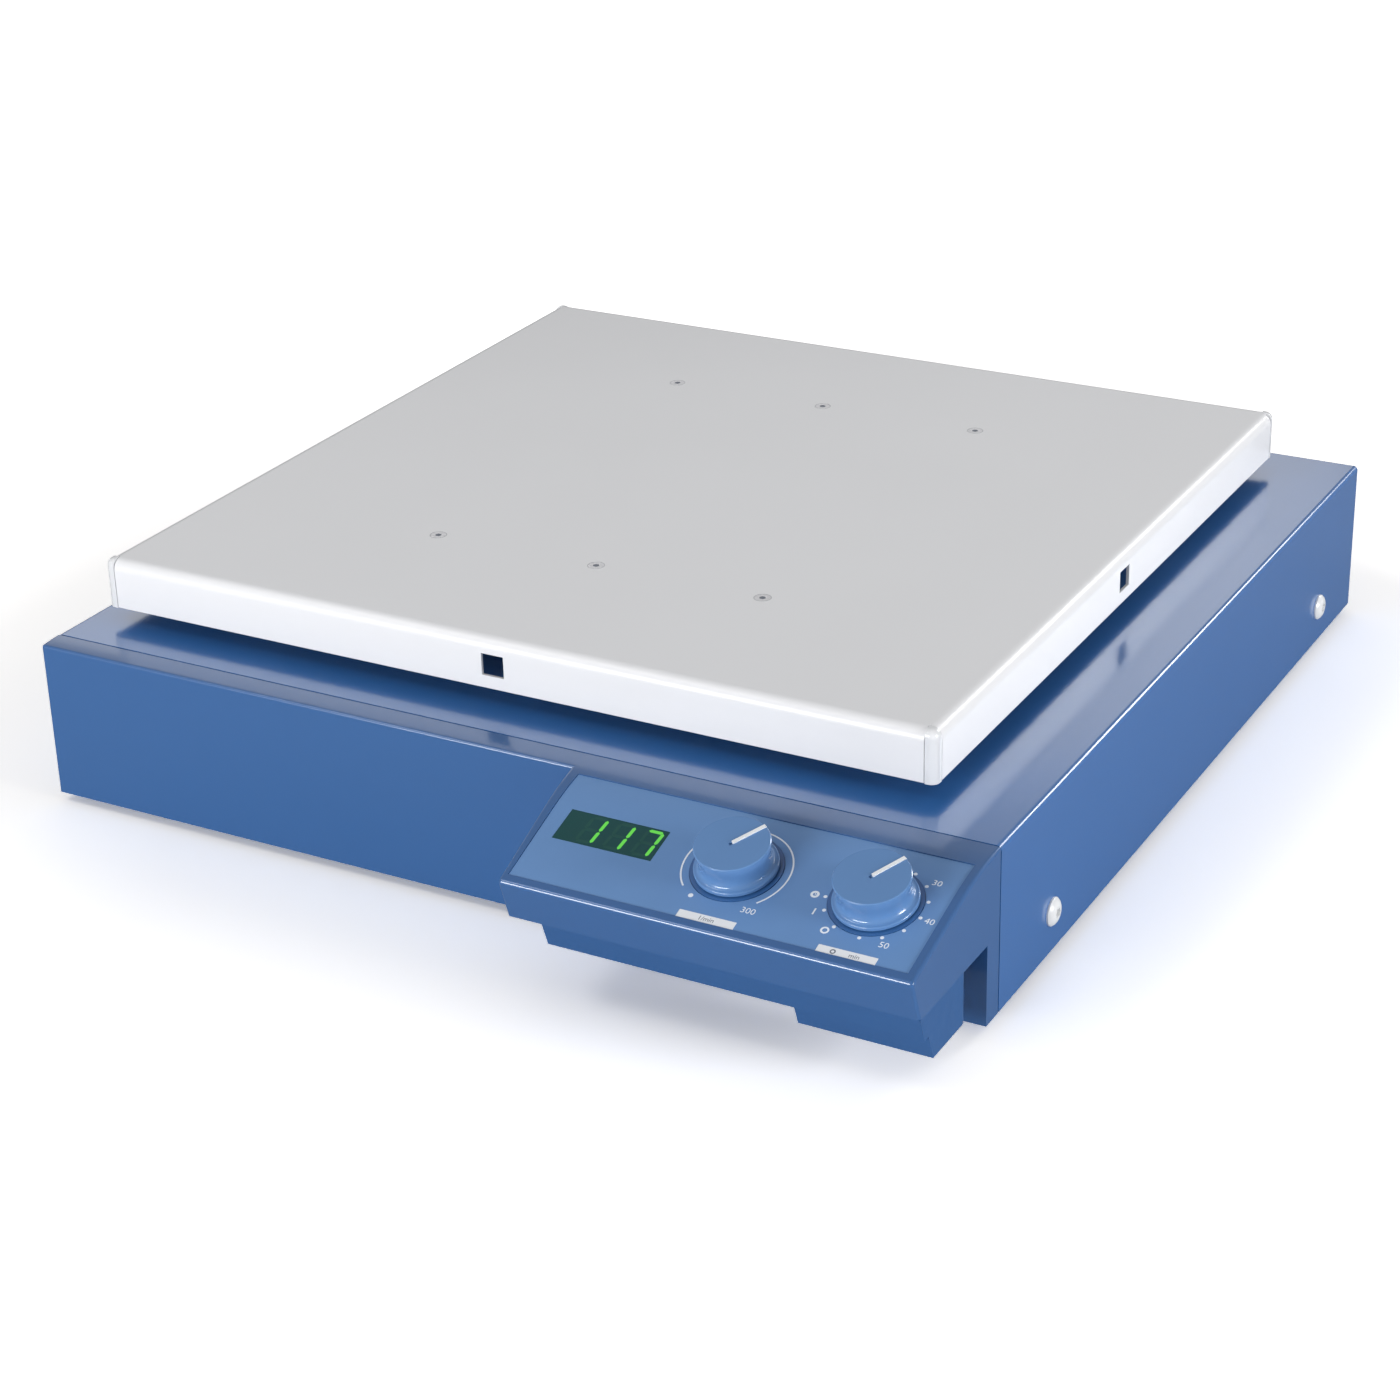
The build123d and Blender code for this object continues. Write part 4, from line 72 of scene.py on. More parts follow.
# The dials and what is printed round them, as x and way up the slope, with angles in degrees
SPEED_DIAL = Vector((153.0, 39.65)) * MM
SPEED_ARC_RADIUS = 24.16 * MM
SPEED_ARC = (-43.6, 224.0)
SPEED_ARC_WIDTH = 0.75 * MM
SPEED_DOT_ANGLE = 241.4
SPEED_DOT_RADIUS = 24.0 * MM
SPEED_DOT = 1.15 * MM
SPEED_END_NUMBER = "300"
SPEED_END_PLACE = mm(169.2, 17.6)
TIMER_DIAL = Vector((218.2, 39.65)) * MM
TIMER_DOT = 0.85 * MM
TIMER_DOT_RADIUS = 21.9 * MM
TIMER_STEPS = 12
TIMER_START_ANGLE = 191.0
TIMER_STEP_ANGLE = 25.0
TIMER_ON_ANGLE = 212.0
TIMER_OFF_ANGLE = 241.4
TIMER_NUMBER_RADIUS = TIMER_DOT_RADIUS + 4.6 * MM
TIMER_NUMBERS = {"10": 141.0, "20": 91.0, "30": 41.2, "40": -9.5, "50": -58.7}

# Signs by the timer dial: rings as place, radius and line width, bars as place and size
CLOCK_RING = (mm(191.9, 35.4), *mm(1.45, 1.1))
CLOCK_HANDS = ((mm(191.9, 36.0), mm(0.3, 1.2)), (mm(192.2, 35.4), mm(0.9, 0.3)))
ON_BAR = (mm(195.9, 26.1), mm(0.75, 3.6))
OFF_RING = (mm(204.9, 17.5), *mm(1.55, 0.85))
PLATE_RING = (mm(213.4, 7.3), *mm(1.0, 0.6))

# The white plates below the dials: middle, unit, and how far the unit stands right of the middle
PLATES = {
    "speed": (mm(154.4, 7.65), "1/min", 0.0),
    "timer": (mm(219.6, 7.3), "min", 3.5 * MM),
}
PLATE_SIZE = mm(27.0, 4.5)

# Digits, each placed by its right edge. The first place stays blank.
DIGIT_HEIGHT = 16.6 * MM
DIGIT_WIDTH = 8.8 * MM
DIGIT_STROKE = 1.65 * MM
DIGIT_GAP = 0.12 * MM
DIGIT_LEAN = math.radians(4.0)
DIGIT_FOOT = 33.0 * MM
DIGIT_RIGHTS = mm(71.6, 85.4, 99.0, 112.9)
DIGITS_LIT = ("", "bc", "bc", "abc")

# The tray's screws in the frame's x and y
TABLE_CENTRE = Vector((-13.703 * MM, 6.101 * MM + ORIGIN_Y))
TRAY_TOP = 120.0 * MM
SCREW_SPOTS = [TABLE_CENTRE + Vector((x, y)) * MM for x in (-91, 0, 91) for y in (-123, 123)]
# Painted shade on the tray screws: a dark six-cornered patch for the shade in each drive recess,
# and a thin grey ring of painted shadow round each head
DRIVE_SHADE_RADIUS = 1.7 * MM
DRIVE_SHADE_CORNERS = 6
HEAD_RADIUS = 4.2 * MM
HEAD_SHADOW_WIDTH = 0.3 * MM

# Finishes. A noise is its scale and detail; a spread is how far it carries a value down and up.
NOISE_RANGE = (0.3, 0.7)
PAINT_CLOUDS = (9.0, 2.0)
PAINT_COLOR_SPREAD = 0.015
PAINT_SHEEN = (12.0, 2.0)
PAINT_ROUGHNESS_SPREAD = (0.01, 0.015)
PAINT_GRAIN = (1500.0, 2.0)
PAINT_GRAIN_DEPTH = 0.06 * MM
PAINT_COAT_ROUGHNESS = 0.14
METAL_DETAIL = 6.0
METAL_COLOR_SPREAD = 0.08
METAL_ROUGHNESS_SPREAD = (0.06, 0.1)
METAL_GRAIN_DEPTH = 0.05 * MM
PLASTIC_CLOUDS = (30.0, 4.0)
PLASTIC_COLOR_SPREAD = 0.05
PLASTIC_SHEEN = (200.0, 4.0)
PLASTIC_ROUGHNESS_SPREAD = (0.04, 0.05)
PLASTIC_GRAIN_DETAIL = 2.0
PLASTIC_GRAIN_DEPTH = 0.05 * MM
PLASTIC_COAT_ROUGHNESS = 0.1
GLOW_BODY = 0.4
GLOW_ROUGHNESS = 0.4

# Floor and world. For the camera alone the floor is paler than it is for the object, and it fades
# to pure white away from the contact shadow. What shiny surfaces mirror of it is a dark grey.
FLOOR_SIZE = 8.0
FLOOR_COLOR = (0.93, 0.93, 0.93)
FLOOR_ROUGHNESS = 0.85
FLOOR_SPECULAR = 0.1
FLOOR_ADDED_COLOR = (0.64, 0.62, 0.60)
FLOOR_MIRRORED_COLOR = (0.30, 0.32, 0.36)
FADE_START = 0.42
FADE_END = 0.90
WORLD_LIGHT = 0.30
WORLD_SEEN = 1.0

# Lamps: place, the point each is turned towards, size, and power in watts
LAMPS = {
    "behind": ((-1.05, 1.75, 1.0), (0, 0.05, 0.1), (1.8, 0.5), 3),
    "behind_right": ((1.0, 1.8, 1.0), (0.1, 0.05, 0.08), (0.6, 0.5), 9),
    "above_left": ((-1.0, -1.0, 1.8), (0, 0, 0.08), (0.9, 0.3), 5),
    "right_side": ((2.3, -0.2, 0.55), (0.2, 0, 0.06), (0.7, 0.6), 33),
    "front_left": ((-0.6, -2.4, 0.60), (0, -0.2, 0.08), (1.4, 0.6), 42),
}

# Camera, fitted to the photograph
CAMERA_TARGET = Vector((42.8, -118.4, 60.0)) * MM + Vector((0, ORIGIN_Y, 0))
CAMERA_DISTANCE = 1.4822
CAMERA_AZIMUTH = math.radians(29.258)
CAMERA_ELEVATION = math.radians(25.547)
CAMERA_ROLL = math.radians(-1.580)
CAMERA_LENS = 78.63
CAMERA_SENSOR = 36.0


# Materials


def new_material(name):
    """A material, its node tree and the Principled shader in it."""
    material = bpy.data.materials.new(name)
    material.use_nodes = True
    return material, material.node_tree, material.node_tree.nodes["Principled BSDF"]


def noise(tree, scale, detail, stretch=(1, 1, 1)):
    """The output of a noise texture on the object, stretched for brushed or turned marks."""
    place = tree.nodes.new("ShaderNodeTexCoord")
    mapping = tree.nodes.new("ShaderNodeMapping")
    mapping.inputs["Scale"].default_value = stretch
    texture = tree.nodes.new("ShaderNodeTexNoise")
    texture.inputs["Scale"].default_value = scale
    texture.inputs["Detail"].default_value = detail
    tree.links.new(place.outputs["Object"], mapping.inputs["Vector"])
    tree.links.new(mapping.outputs["Vector"], texture.inputs["Vector"])
    return texture.outputs["Fac"]


def vary_color(tree, shader, source, color, spread):
    """Lets a texture carry the base colour a little darker and lighter."""
    blend = tree.nodes.new("ShaderNodeMix")
    blend.data_type = "RGBA"
    blend.inputs[6].default_value = [c * (1 - spread) for c in color] + [1]
    blend.inputs[7].default_value = [min(1.0, c * (1 + spread)) for c in color] + [1]
    tree.links.new(source, blend.inputs[0])
    tree.links.new(blend.outputs[2], shader.inputs["Base Color"])


def vary_roughness(tree, shader, source, roughness, spread):
    """Lets a texture carry the roughness a little down and up."""
    span = tree.nodes.new("ShaderNodeMapRange")
    span.inputs["From Min"].default_value, span.inputs["From Max"].default_value = NOISE_RANGE
    span.inputs["To Min"].default_value = roughness - spread[0]
    span.inputs["To Max"].default_value = roughness + spread[1]
    tree.links.new(source, span.inputs["Value"])
    tree.links.new(span.outputs["Result"], shader.inputs["Roughness"])


def bump(tree, shader, source, strength, depth):
    """Turns a texture's output into a small relief on the shader's normal."""
    relief = tree.nodes.new("ShaderNodeBump")
    relief.inputs["Strength"].default_value = strength
    relief.inputs["Distance"].default_value = depth
    tree.links.new(source, relief.inputs["Height"])
    tree.links.new(relief.outputs["Normal"], shader.inputs["Normal"])


def paint(name, color, roughness, coat, grain=0.0, gloss=1.5):
    """Sprayed paint: faint clouds in colour and gloss, a clear coat, and orange peel as grain."""
    material, tree, shader = new_material(name)
    shader.inputs["Coat Weight"].default_value = coat
    shader.inputs["Coat Roughness"].default_value = PAINT_COAT_ROUGHNESS
    shader.inputs["Coat IOR"].default_value = gloss
    vary_color(tree, shader, noise(tree, *PAINT_CLOUDS), color, PAINT_COLOR_SPREAD)
    vary_roughness(tree, shader, noise(tree, *PAINT_SHEEN), roughness, PAINT_ROUGHNESS_SPREAD)
    if grain:
        bump(tree, shader, noise(tree, *PAINT_GRAIN), grain, PAINT_GRAIN_DEPTH)
    return material


def metal(name, color, roughness=0.28, stretch=(1, 1, 1), grain=0.2, grain_size=900.0):
    """Bare metal with machining or brushing marks along one direction."""
    material, tree, shader = new_material(name)
    shader.inputs["Metallic"].default_value = 1.0
    marks = noise(tree, grain_size, METAL_DETAIL, stretch)
    vary_color(tree, shader, marks, color, METAL_COLOR_SPREAD)
    vary_roughness(tree, shader, marks, roughness, METAL_ROUGHNESS_SPREAD)
    if grain:
        bump(tree, shader, marks, grain, METAL_GRAIN_DEPTH)
    return material


def plastic(name, color, roughness, grain=0.3, grain_size=2200.0, coat=0.0):
    """Moulded plastic, with a fine spark-eroded relief if it has grain."""
    material, tree, shader = new_material(name)
    shader.inputs["Coat Weight"].default_value = coat
    shader.inputs["Coat Roughness"].default_value = PLASTIC_COAT_ROUGHNESS
    vary_color(tree, shader, noise(tree, *PLASTIC_CLOUDS), color, PLASTIC_COLOR_SPREAD)
    vary_roughness(tree, shader, noise(tree, *PLASTIC_SHEEN), roughness, PLASTIC_ROUGHNESS_SPREAD)
    if grain:
        marks = noise(tree, grain_size, PLASTIC_GRAIN_DETAIL)
        bump(tree, shader, marks, grain, PLASTIC_GRAIN_DEPTH)
    return material


def glow(name, color, strength):
    """A lit segment, which gives off its own plain colour."""
    material, tree, shader = new_material(name)
    shader.inputs["Base Color"].default_value = [c * GLOW_BODY for c in color] + [1]
    shader.inputs["Emission Color"].default_value = list(color) + [1]
    shader.inputs["Emission Strength"].default_value = strength
    shader.inputs["Roughness"].default_value = GLOW_ROUGHNESS
    return material


body_blue = paint("body_blue", (0.030, 0.140, 0.405), roughness=0.3, coat=1.0, gloss=1.7)
# The front moulding carries the body's blue paint, made darker here as painted shade for its
# front faces, which turn away from the lamps
strip_blue_painted_shade = paint("strip_blue_painted_shade", (0.030, 0.112, 0.305), roughness=0.3, coat=0.9, gloss=1.6)
# The console's shell carries the body's blue, made darker here as painted shade for its lower
# faces under the lip
shell_blue_painted_shade = plastic("shell_blue_painted_shade", (0.027, 0.100, 0.272), roughness=0.36, grain=0.0)
# The foil is a lighter blue than the body's paint, and part of this lighter tone is painted
# light, for the panel that faces the lamps
overlay_blue_and_painted_light = plastic("overlay_blue_and_painted_light", (0.130, 0.265, 0.525), roughness=0.42, grain=0.0)
knob_blue = plastic("knob_blue", (0.110, 0.240, 0.490), roughness=0.22, grain=0.0, coat=0.6)
tray_grey = paint("tray_grey", (0.785, 0.79, 0.81), roughness=0.36, coat=0.15)
corner_grey = paint("corner_grey", (0.72, 0.73, 0.75), roughness=0.26, coat=0.4, grain=0.02)
steel = metal("steel", (0.62, 0.62, 0.63))
bright_steel = metal("bright_steel", (0.80, 0.80, 0.81), roughness=0.2, grain=0.1)
screw_steel = metal("screw_steel", (0.62, 0.62, 0.64), roughness=0.3, grain=0.0)
zinc_white = paint("zinc_white", (0.78, 0.79, 0.80), roughness=0.3, coat=0.3, grain=0.05)
turned_steel = metal("turned_steel", (0.55, 0.55, 0.56), stretch=(1, 1, 14))
cast_alloy = metal("cast_alloy", (0.62, 0.63, 0.64), roughness=0.5, grain=0.5, grain_size=500.0)
turned_alloy = metal("turned_alloy", (0.70, 0.71, 0.72), roughness=0.3, stretch=(1, 1, 12))
cast_iron = metal("cast_iron", (0.22, 0.22, 0.23), roughness=0.6, grain=0.6, grain_size=420.0)
laminations = metal("laminations", (0.30, 0.29, 0.28), roughness=0.5, stretch=(0.05, 1, 0.05))
rubber = plastic("rubber", (0.025, 0.025, 0.027), roughness=0.75, grain=0.5, grain_size=900.0)
black_plastic = plastic("black_plastic", (0.02, 0.02, 0.022), roughness=0.38)
board_green = plastic("board_green", (0.02, 0.16, 0.06), roughness=0.35, coat=0.3)
part_blue = plastic("part_blue", (0.06, 0.10, 0.25), roughness=0.35)
part_cream = plastic("part_cream", (0.72, 0.70, 0.62), roughness=0.5)
coil_amber = plastic("coil_amber", (0.55, 0.32, 0.06), roughness=0.4, grain=0.6, grain_size=700.0)
sleeve_black = plastic("sleeve_black", (0.03, 0.035, 0.06), roughness=0.3, coat=0.4)
white_line = plastic("white_line", (0.82, 0.84, 0.86), roughness=0.4, grain=0.1)
ink_white = plastic("ink_white", (0.80, 0.84, 0.90), roughness=0.45, grain=0.1)
label_white = plastic("label_white", (0.80, 0.82, 0.85), roughness=0.4, grain=0.1)
screw_shadow = plastic("screw_shadow", (0.42, 0.43, 0.45), roughness=0.5, grain=0.0)
# Grey ink for the units and sign on the plates, also used as painted shade in the tray screws'
# drive recesses
ink_and_shade_grey = plastic("ink_and_shade_grey", (0.16, 0.18, 0.22), roughness=0.5, grain=0.1)
window_green = plastic("window_green", (0.004, 0.060, 0.062), roughness=0.32, grain=0.0)
segment_dark = plastic("segment_dark", (0.010, 0.075, 0.066), roughness=0.32, grain=0.01)
segment_lit = glow("segment_lit", (0.12, 0.60, 0.07), 0.8)

NODE_MATERIALS = {
    body_blue: ["cover", "base_pan"],
    strip_blue_painted_shade: ["front_panel"],
    shell_blue_painted_shade: ["console_base"],
    overlay_blue_and_painted_light: ["panel_overlay"],
    window_green: ["display_window"],
    knob_blue: ["speed_knob", "timer_knob"],
    white_line: ["speed_pointer", "timer_pointer"],
    tray_grey: ["tray"],
    corner_grey: ["tray_corners"],
    zinc_white: ["cover_screws"],
    bright_steel: ["inlet_screws", "inlet_pins"],
    screw_steel: ["tray_screws"],
    steel: [
        "foot_screws", "console_screws", "motor_screws", "main_housing_bolts",
        "crank_housing_bolts", "counterweight_screws", "board_standoffs", "motor_bracket",
    ],
    turned_steel: [
        "main_shaft", "motor_shaft", "speed_shaft", "timer_shaft", "main_bearings",
        "crank_bearings", "hub_bearing", "table_bearings", "front_left_crank",
        "front_right_crank", "rear_left_crank", "rear_right_crank",
    ],
    cast_alloy: ["table_frame", "board_heatsink"],
    turned_alloy: ["main_housing", "crank_housings", "driven_pulley", "motor_pulley"],
    cast_iron: ["counterweight"],
    laminations: ["transformer_core"],
    rubber: ["feet", "drive_belt"],
    black_plastic: ["mains_inlet", "display_module", "motor_housing"],
    board_green: ["display_board", "power_board"],
    part_blue: ["speed_potentiometer"],
    part_cream: ["timer_unit"],
    coil_amber: ["transformer_coil"],
    sleeve_black: ["board_capacitors"],
}
for material, names in NODE_MATERIALS.items():
    for name in names:
        nodes[name].data.materials.clear()
        nodes[name].data.materials.append(material)


# Outlines, drawn flat


def polygon_mesh(name, loops):
    """A flat mesh with one face for each list of points."""
    mesh = bpy.data.meshes.new(name)
    points = [(p[0], p[1], 0) for loop in loops for p in loop]
    faces = []
    first = 0
    for loop in loops:
        faces.append(list(range(first, first + len(loop))))
        first += len(loop)
    mesh.from_pydata(points, [], faces)
    return mesh


def polar(centre, radius, angle):
    """The point at an angle in degrees round a centre."""
    turn = math.radians(angle)
    return (centre[0] + radius * math.cos(turn), centre[1] + radius * math.sin(turn))


def disc(centre, radius, corners=DISC_CORNERS):
    """The outline of a round dot."""
    return [polar(centre, radius, FULL_TURN * i / corners) for i in range(corners)]


def arc_band(centre, radius, width, start, end, step=ARC_STEP):
    """Quads along a printed arc, with square ends."""
    count = max(1, round((end - start) / step))
    inner, outer = radius - width / 2, radius + width / 2
    quads = []
    for i in range(count):
        a = start + (end - start) * i / count
        b = start + (end - start) * (i + 1) / count
        quads.append([
            polar(centre, inner, a), polar(centre, outer, a),
            polar(centre, outer, b), polar(centre, inner, b),
        ])
    return quads


def ring(centre, radius, width):
    """Quads round a small printed ring."""
    return arc_band(centre, radius, width, 0, FULL_TURN, RING_STEP)


def bar(centre, size):
    """The outline of an upright rectangle."""
    x, y = centre
    width, height = size
    return [
        (x - width / 2, y - height / 2), (x + width / 2, y - height / 2),
        (x + width / 2, y + height / 2), (x - width / 2, y + height / 2),
    ]


def text_mesh(text, size, centre):
    """The flat faces of a short line of plain type, centred on a point of the panel."""
    curve = bpy.data.curves.new("type", "FONT")
    curve.body = text
    curve.size = size
    curve.align_x = "CENTER"
    curve.align_y = "CENTER"
    curve.resolution_u = TYPE_RESOLUTION
    typed = bpy.data.objects.new("type", curve)
    bpy.context.scene.collection.objects.link(typed)
    bpy.context.view_layer.update()
    shown = typed.evaluated_get(bpy.context.evaluated_depsgraph_get())
    mesh = bpy.data.meshes.new_from_object(shown)
    bpy.data.objects.remove(typed)
    for v in mesh.vertices:
        v.co = Vector((centre[0] + v.co.x, centre[1] + v.co.y, 0))
    return mesh


# Pieces made from the outlines


def panel_point(x, s, h):
    """A point by the panel: x across, s up the slope from the lip, h out of the surface."""
    if s <= BEND_S:
        up = Vector((0, math.cos(SLOPE), math.sin(SLOPE)))
        out = Vector((0, -math.sin(SLOPE), math.cos(SLOPE)))
        return Vector((x, LIP_Y, LIP_Z)) + up * s + out * h
    tilt = SLOPE - (s - BEND_S) / PANEL_BEND
    out = Vector((0, -math.sin(tilt), math.cos(tilt)))
    return Vector((x, CREST_Y, BODY_TOP - PANEL_BEND)) + out * (PANEL_BEND + h)


def thicken(flat):
    """Raises flat faces into closed plates as thick as a layer of ink."""
    raised = bmesh.ops.extrude_face_region(flat, geom=flat.faces[:])
    for v in raised["geom"]:
        if isinstance(v, bmesh.types.BMVert):
            v.co.z += INK_THICKNESS


def add_piece(name, shape, material, body):
    """Puts a finished shape in the scene as a piece that rides on a body."""
    bmesh.ops.recalc_face_normals(shape, faces=shape.faces[:])
    mesh = bpy.data.meshes.new(name)
    shape.to_mesh(mesh)
    shape.free()
    mesh.materials.append(material)
    piece = bpy.data.objects.new(name, mesh)
    bpy.context.scene.collection.objects.link(piece)
    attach(piece, body)


def lay_on_panel(name, outline, material, face=OVERLAY_FACE):
    """Turns flat faces drawn in x and s into a closed layer of ink on the bent panel."""
    flat = bmesh.new()
    flat.from_mesh(outline)
    bmesh.ops.triangulate(flat, faces=flat.faces[:])
    low = min(v.co.y for v in flat.verts)
    high = max(v.co.y for v in flat.verts)
    for i in range(1, int((high - low) / INK_STEP) + 1):
        cut = low + i * INK_STEP
        if BEND_S < cut < high:
            everything = flat.verts[:] + flat.edges[:] + flat.faces[:]
            bmesh.ops.bisect_plane(
                flat, geom=everything, plane_co=(0, cut, 0), plane_no=(0, 1, 0)
            )
    bmesh.ops.recalc_face_normals(flat, faces=flat.faces[:])
    for f in flat.faces:
        if f.normal.z < 0:
            f.normal_flip()
    thicken(flat)
    for v in flat.verts:
        v.co = panel_point(v.co.x, v.co.y, face - INK_SUNK + v.co.z)
    add_piece(name, flat, material, "base")


def lay_on_tray(name, loops, material):
    """Thin closed plates on the tray's top, which move with the table."""
    plates = bmesh.new()
    plates.from_mesh(polygon_mesh(name, loops))
    thicken(plates)
    for v in plates.verts:
        v.co.z += TRAY_TOP - INK_SUNK
    add_piece(name, plates, material, "table")


# Printing round the speed dial: the scale's arc, its start dot and its end number
quads = arc_band(SPEED_DIAL, SPEED_ARC_RADIUS, SPEED_ARC_WIDTH, *SPEED_ARC)
arc_mesh = polygon_mesh("speed_scale", quads)
welded = bmesh.new()
welded.from_mesh(arc_mesh)
bmesh.ops.remove_doubles(welded, verts=welded.verts[:], dist=WELD_DISTANCE)
welded.to_mesh(arc_mesh)
welded.free()
lay_on_panel("speed_scale", arc_mesh, ink_white)
start_dot = disc(polar(SPEED_DIAL, SPEED_DOT_RADIUS, SPEED_DOT_ANGLE), SPEED_DOT)
lay_on_panel("speed_start_dot", polygon_mesh("speed_start_dot", [start_dot]), ink_white)
end_number = text_mesh(SPEED_END_NUMBER, NUMBER_SIZE, SPEED_END_PLACE)
lay_on_panel("speed_end_number", end_number, ink_white)

# Printing round the timer dial: a dot for each step, numbers, and the clock, on and off signs
dot_angles = [TIMER_ON_ANGLE, TIMER_OFF_ANGLE]
dot_angles += [TIMER_START_ANGLE - TIMER_STEP_ANGLE * i for i in range(TIMER_STEPS)]
dots = [disc(polar(TIMER_DIAL, TIMER_DOT_RADIUS, angle), TIMER_DOT) for angle in dot_angles]
lay_on_panel("timer_dots", polygon_mesh("timer_dots", dots), ink_white)
for number, angle in TIMER_NUMBERS.items():
    place = polar(TIMER_DIAL, TIMER_NUMBER_RADIUS, angle)
    lay_on_panel("timer_number_" + number, text_mesh(number, NUMBER_SIZE, place), ink_white)
SIGNS = {
    "timer_sign": ring(*CLOCK_RING),
    "timer_sign_hands": [bar(*hand) for hand in CLOCK_HANDS],
    "timer_on_sign": [bar(*ON_BAR)],
    "timer_off_sign": ring(*OFF_RING),
}
for name, loops in SIGNS.items():
    lay_on_panel(name, polygon_mesh(name, loops), ink_white)

# White unit plates below both dials
for dial, (middle, unit, shift) in PLATES.items():
    plate = polygon_mesh(dial + "_plate", [bar(middle, PLATE_SIZE)])
    lay_on_panel(dial + "_plate", plate, label_white)
    word = text_mesh(unit, UNIT_SIZE, (middle[0] + shift, middle[1]))
    lay_on_panel(dial + "_unit", word, ink_and_shade_grey, PLATE_INK_FACE)
plate_sign = polygon_mesh("timer_plate_sign", ring(*PLATE_RING))
lay_on_panel("timer_plate_sign", plate_sign, ink_and_shade_grey, PLATE_INK_FACE)


# Digits: seven pointed segments each, the lit ones bright and the rest barely showing


def segment(start, end):
    """The six-cornered outline of one segment between two corners of a digit."""
    a, b = Vector(start), Vector(end)
    along = (b - a).normalized()
    side = Vector((-along.y, along.x)) * (DIGIT_STROKE / 2)
    point = along * (DIGIT_STROKE / 2)
    a = a + along * DIGIT_GAP
    b = b - along * DIGIT_GAP
    return [a, a + point + side, b - point + side, b, b - point - side, a + point - side]


def digit_loops(right, lit):
    """Outlines of a digit's lit and unlit segments."""
    w = DIGIT_WIDTH - DIGIT_STROKE
    h = DIGIT_HEIGHT - DIGIT_STROKE
    x0, y0 = right - DIGIT_STROKE / 2 - w, DIGIT_FOOT + DIGIT_STROKE / 2
    x1, y1, y2 = x0 + w, y0 + h / 2, y0 + h
    corners = {
        "a": ((x0, y2), (x1, y2)), "b": ((x1, y1), (x1, y2)), "c": ((x1, y0), (x1, y1)),
        "d": ((x0, y0), (x1, y0)), "e": ((x0, y0), (x0, y1)), "f": ((x0, y1), (x0, y2)),
        "g": ((x0, y1), (x1, y1)),
    }
    lean = math.tan(DIGIT_LEAN)
    on, off = [], []
    for key, (start, end) in corners.items():
        loop = segment(start, end)
        for p in loop:
            p.x += (p.y - DIGIT_FOOT) * lean - DIGIT_HEIGHT / 2 * lean
        (on if key in lit else off).append(loop)
    return on, off


lit_loops, dark_loops = [], []
for right, lit in zip(DIGIT_RIGHTS, DIGITS_LIT):
    on, off = digit_loops(right, lit)
    lit_loops += on
    if lit:
        dark_loops += off
for name, loops, material in (
    ("digits_lit", lit_loops, segment_lit),
    ("digits_unlit", dark_loops, segment_dark),
):
    lay_on_panel(name, polygon_mesh(name, loops), material)

# Tray screws: painted shade, a dark patch on each head where its drive recess is, and a thin ring
# of painted shadow round each head
drive_shades = [disc(spot, DRIVE_SHADE_RADIUS, DRIVE_SHADE_CORNERS) for spot in SCREW_SPOTS]
lay_on_tray("tray_screw_painted_drive_shade", drive_shades, ink_and_shade_grey)
# A thin grey ring of painted shadow round each screw head
head_shadows = [quad for spot in SCREW_SPOTS for quad in ring(spot, HEAD_RADIUS, HEAD_SHADOW_WIDTH)]
lay_on_tray("tray_screw_painted_shadow_rings", head_shadows, screw_shadow)


# Floor and world


def add_shaders(tree, first, second):
    """The sum of two shaders."""
    total = tree.nodes.new("ShaderNodeAddShader")
    tree.links.new(first, total.inputs[0])
    tree.links.new(second, total.inputs[1])
    return total.outputs["Shader"]


def choose_shader(tree, factor, first, second):
    """The first shader where the factor is 0, and the second where it is 1."""
    choice = tree.nodes.new("ShaderNodeMixShader")
    tree.links.new(factor, choice.inputs["Fac"])
    tree.links.new(first, choice.inputs[1])
    tree.links.new(second, choice.inputs[2])
    return choice.outputs["Shader"]


def diffuse(tree, color):
    """A matt shader of one colour."""
    matt = tree.nodes.new("ShaderNodeBsdfDiffuse")
    matt.inputs["Color"].default_value = (*color, 1)
    return matt.outputs["BSDF"]


def fade_to_white(tree, camera_ray):
    """Light that grows with the distance from the object, for the camera alone."""
    place = tree.nodes.new("ShaderNodeTexCoord")
    distance = tree.nodes.new("ShaderNodeVectorMath")
    distance.operation = "LENGTH"
    fade = tree.nodes.new("ShaderNodeMapRange")
    fade.inputs["From Min"].default_value = FADE_START
    fade.inputs["From Max"].default_value = FADE_END
    seen = tree.nodes.new("ShaderNodeMath")
    seen.operation = "MULTIPLY"
    light = tree.nodes.new("ShaderNodeEmission")
    tree.links.new(place.outputs["Object"], distance.inputs[0])
    tree.links.new(distance.outputs["Value"], fade.inputs["Value"])
    tree.links.new(fade.outputs["Result"], seen.inputs[0])
    tree.links.new(camera_ray, seen.inputs[1])
    tree.links.new(seen.outputs[0], light.inputs["Strength"])
    return light.outputs["Emission"]


floor_material, tree, shader = new_material("floor_white")
shader.inputs["Base Color"].default_value = (*FLOOR_COLOR, 1)
shader.inputs["Roughness"].default_value = FLOOR_ROUGHNESS
shader.inputs["Specular IOR Level"].default_value = FLOOR_SPECULAR
path = tree.nodes.new("ShaderNodeLightPath")
camera_ray = path.outputs["Is Camera Ray"]
matt_floor = shader.outputs["BSDF"]
pale_floor = add_shaders(tree, matt_floor, diffuse(tree, FLOOR_ADDED_COLOR))
seen_floor = choose_shader(tree, camera_ray, matt_floor, pale_floor)
faded_floor = add_shaders(tree, seen_floor, fade_to_white(tree, camera_ray))
mirrored_floor = diffuse(tree, FLOOR_MIRRORED_COLOR)
surface = choose_shader(tree, path.outputs["Is Glossy Ray"], faded_floor, mirrored_floor)
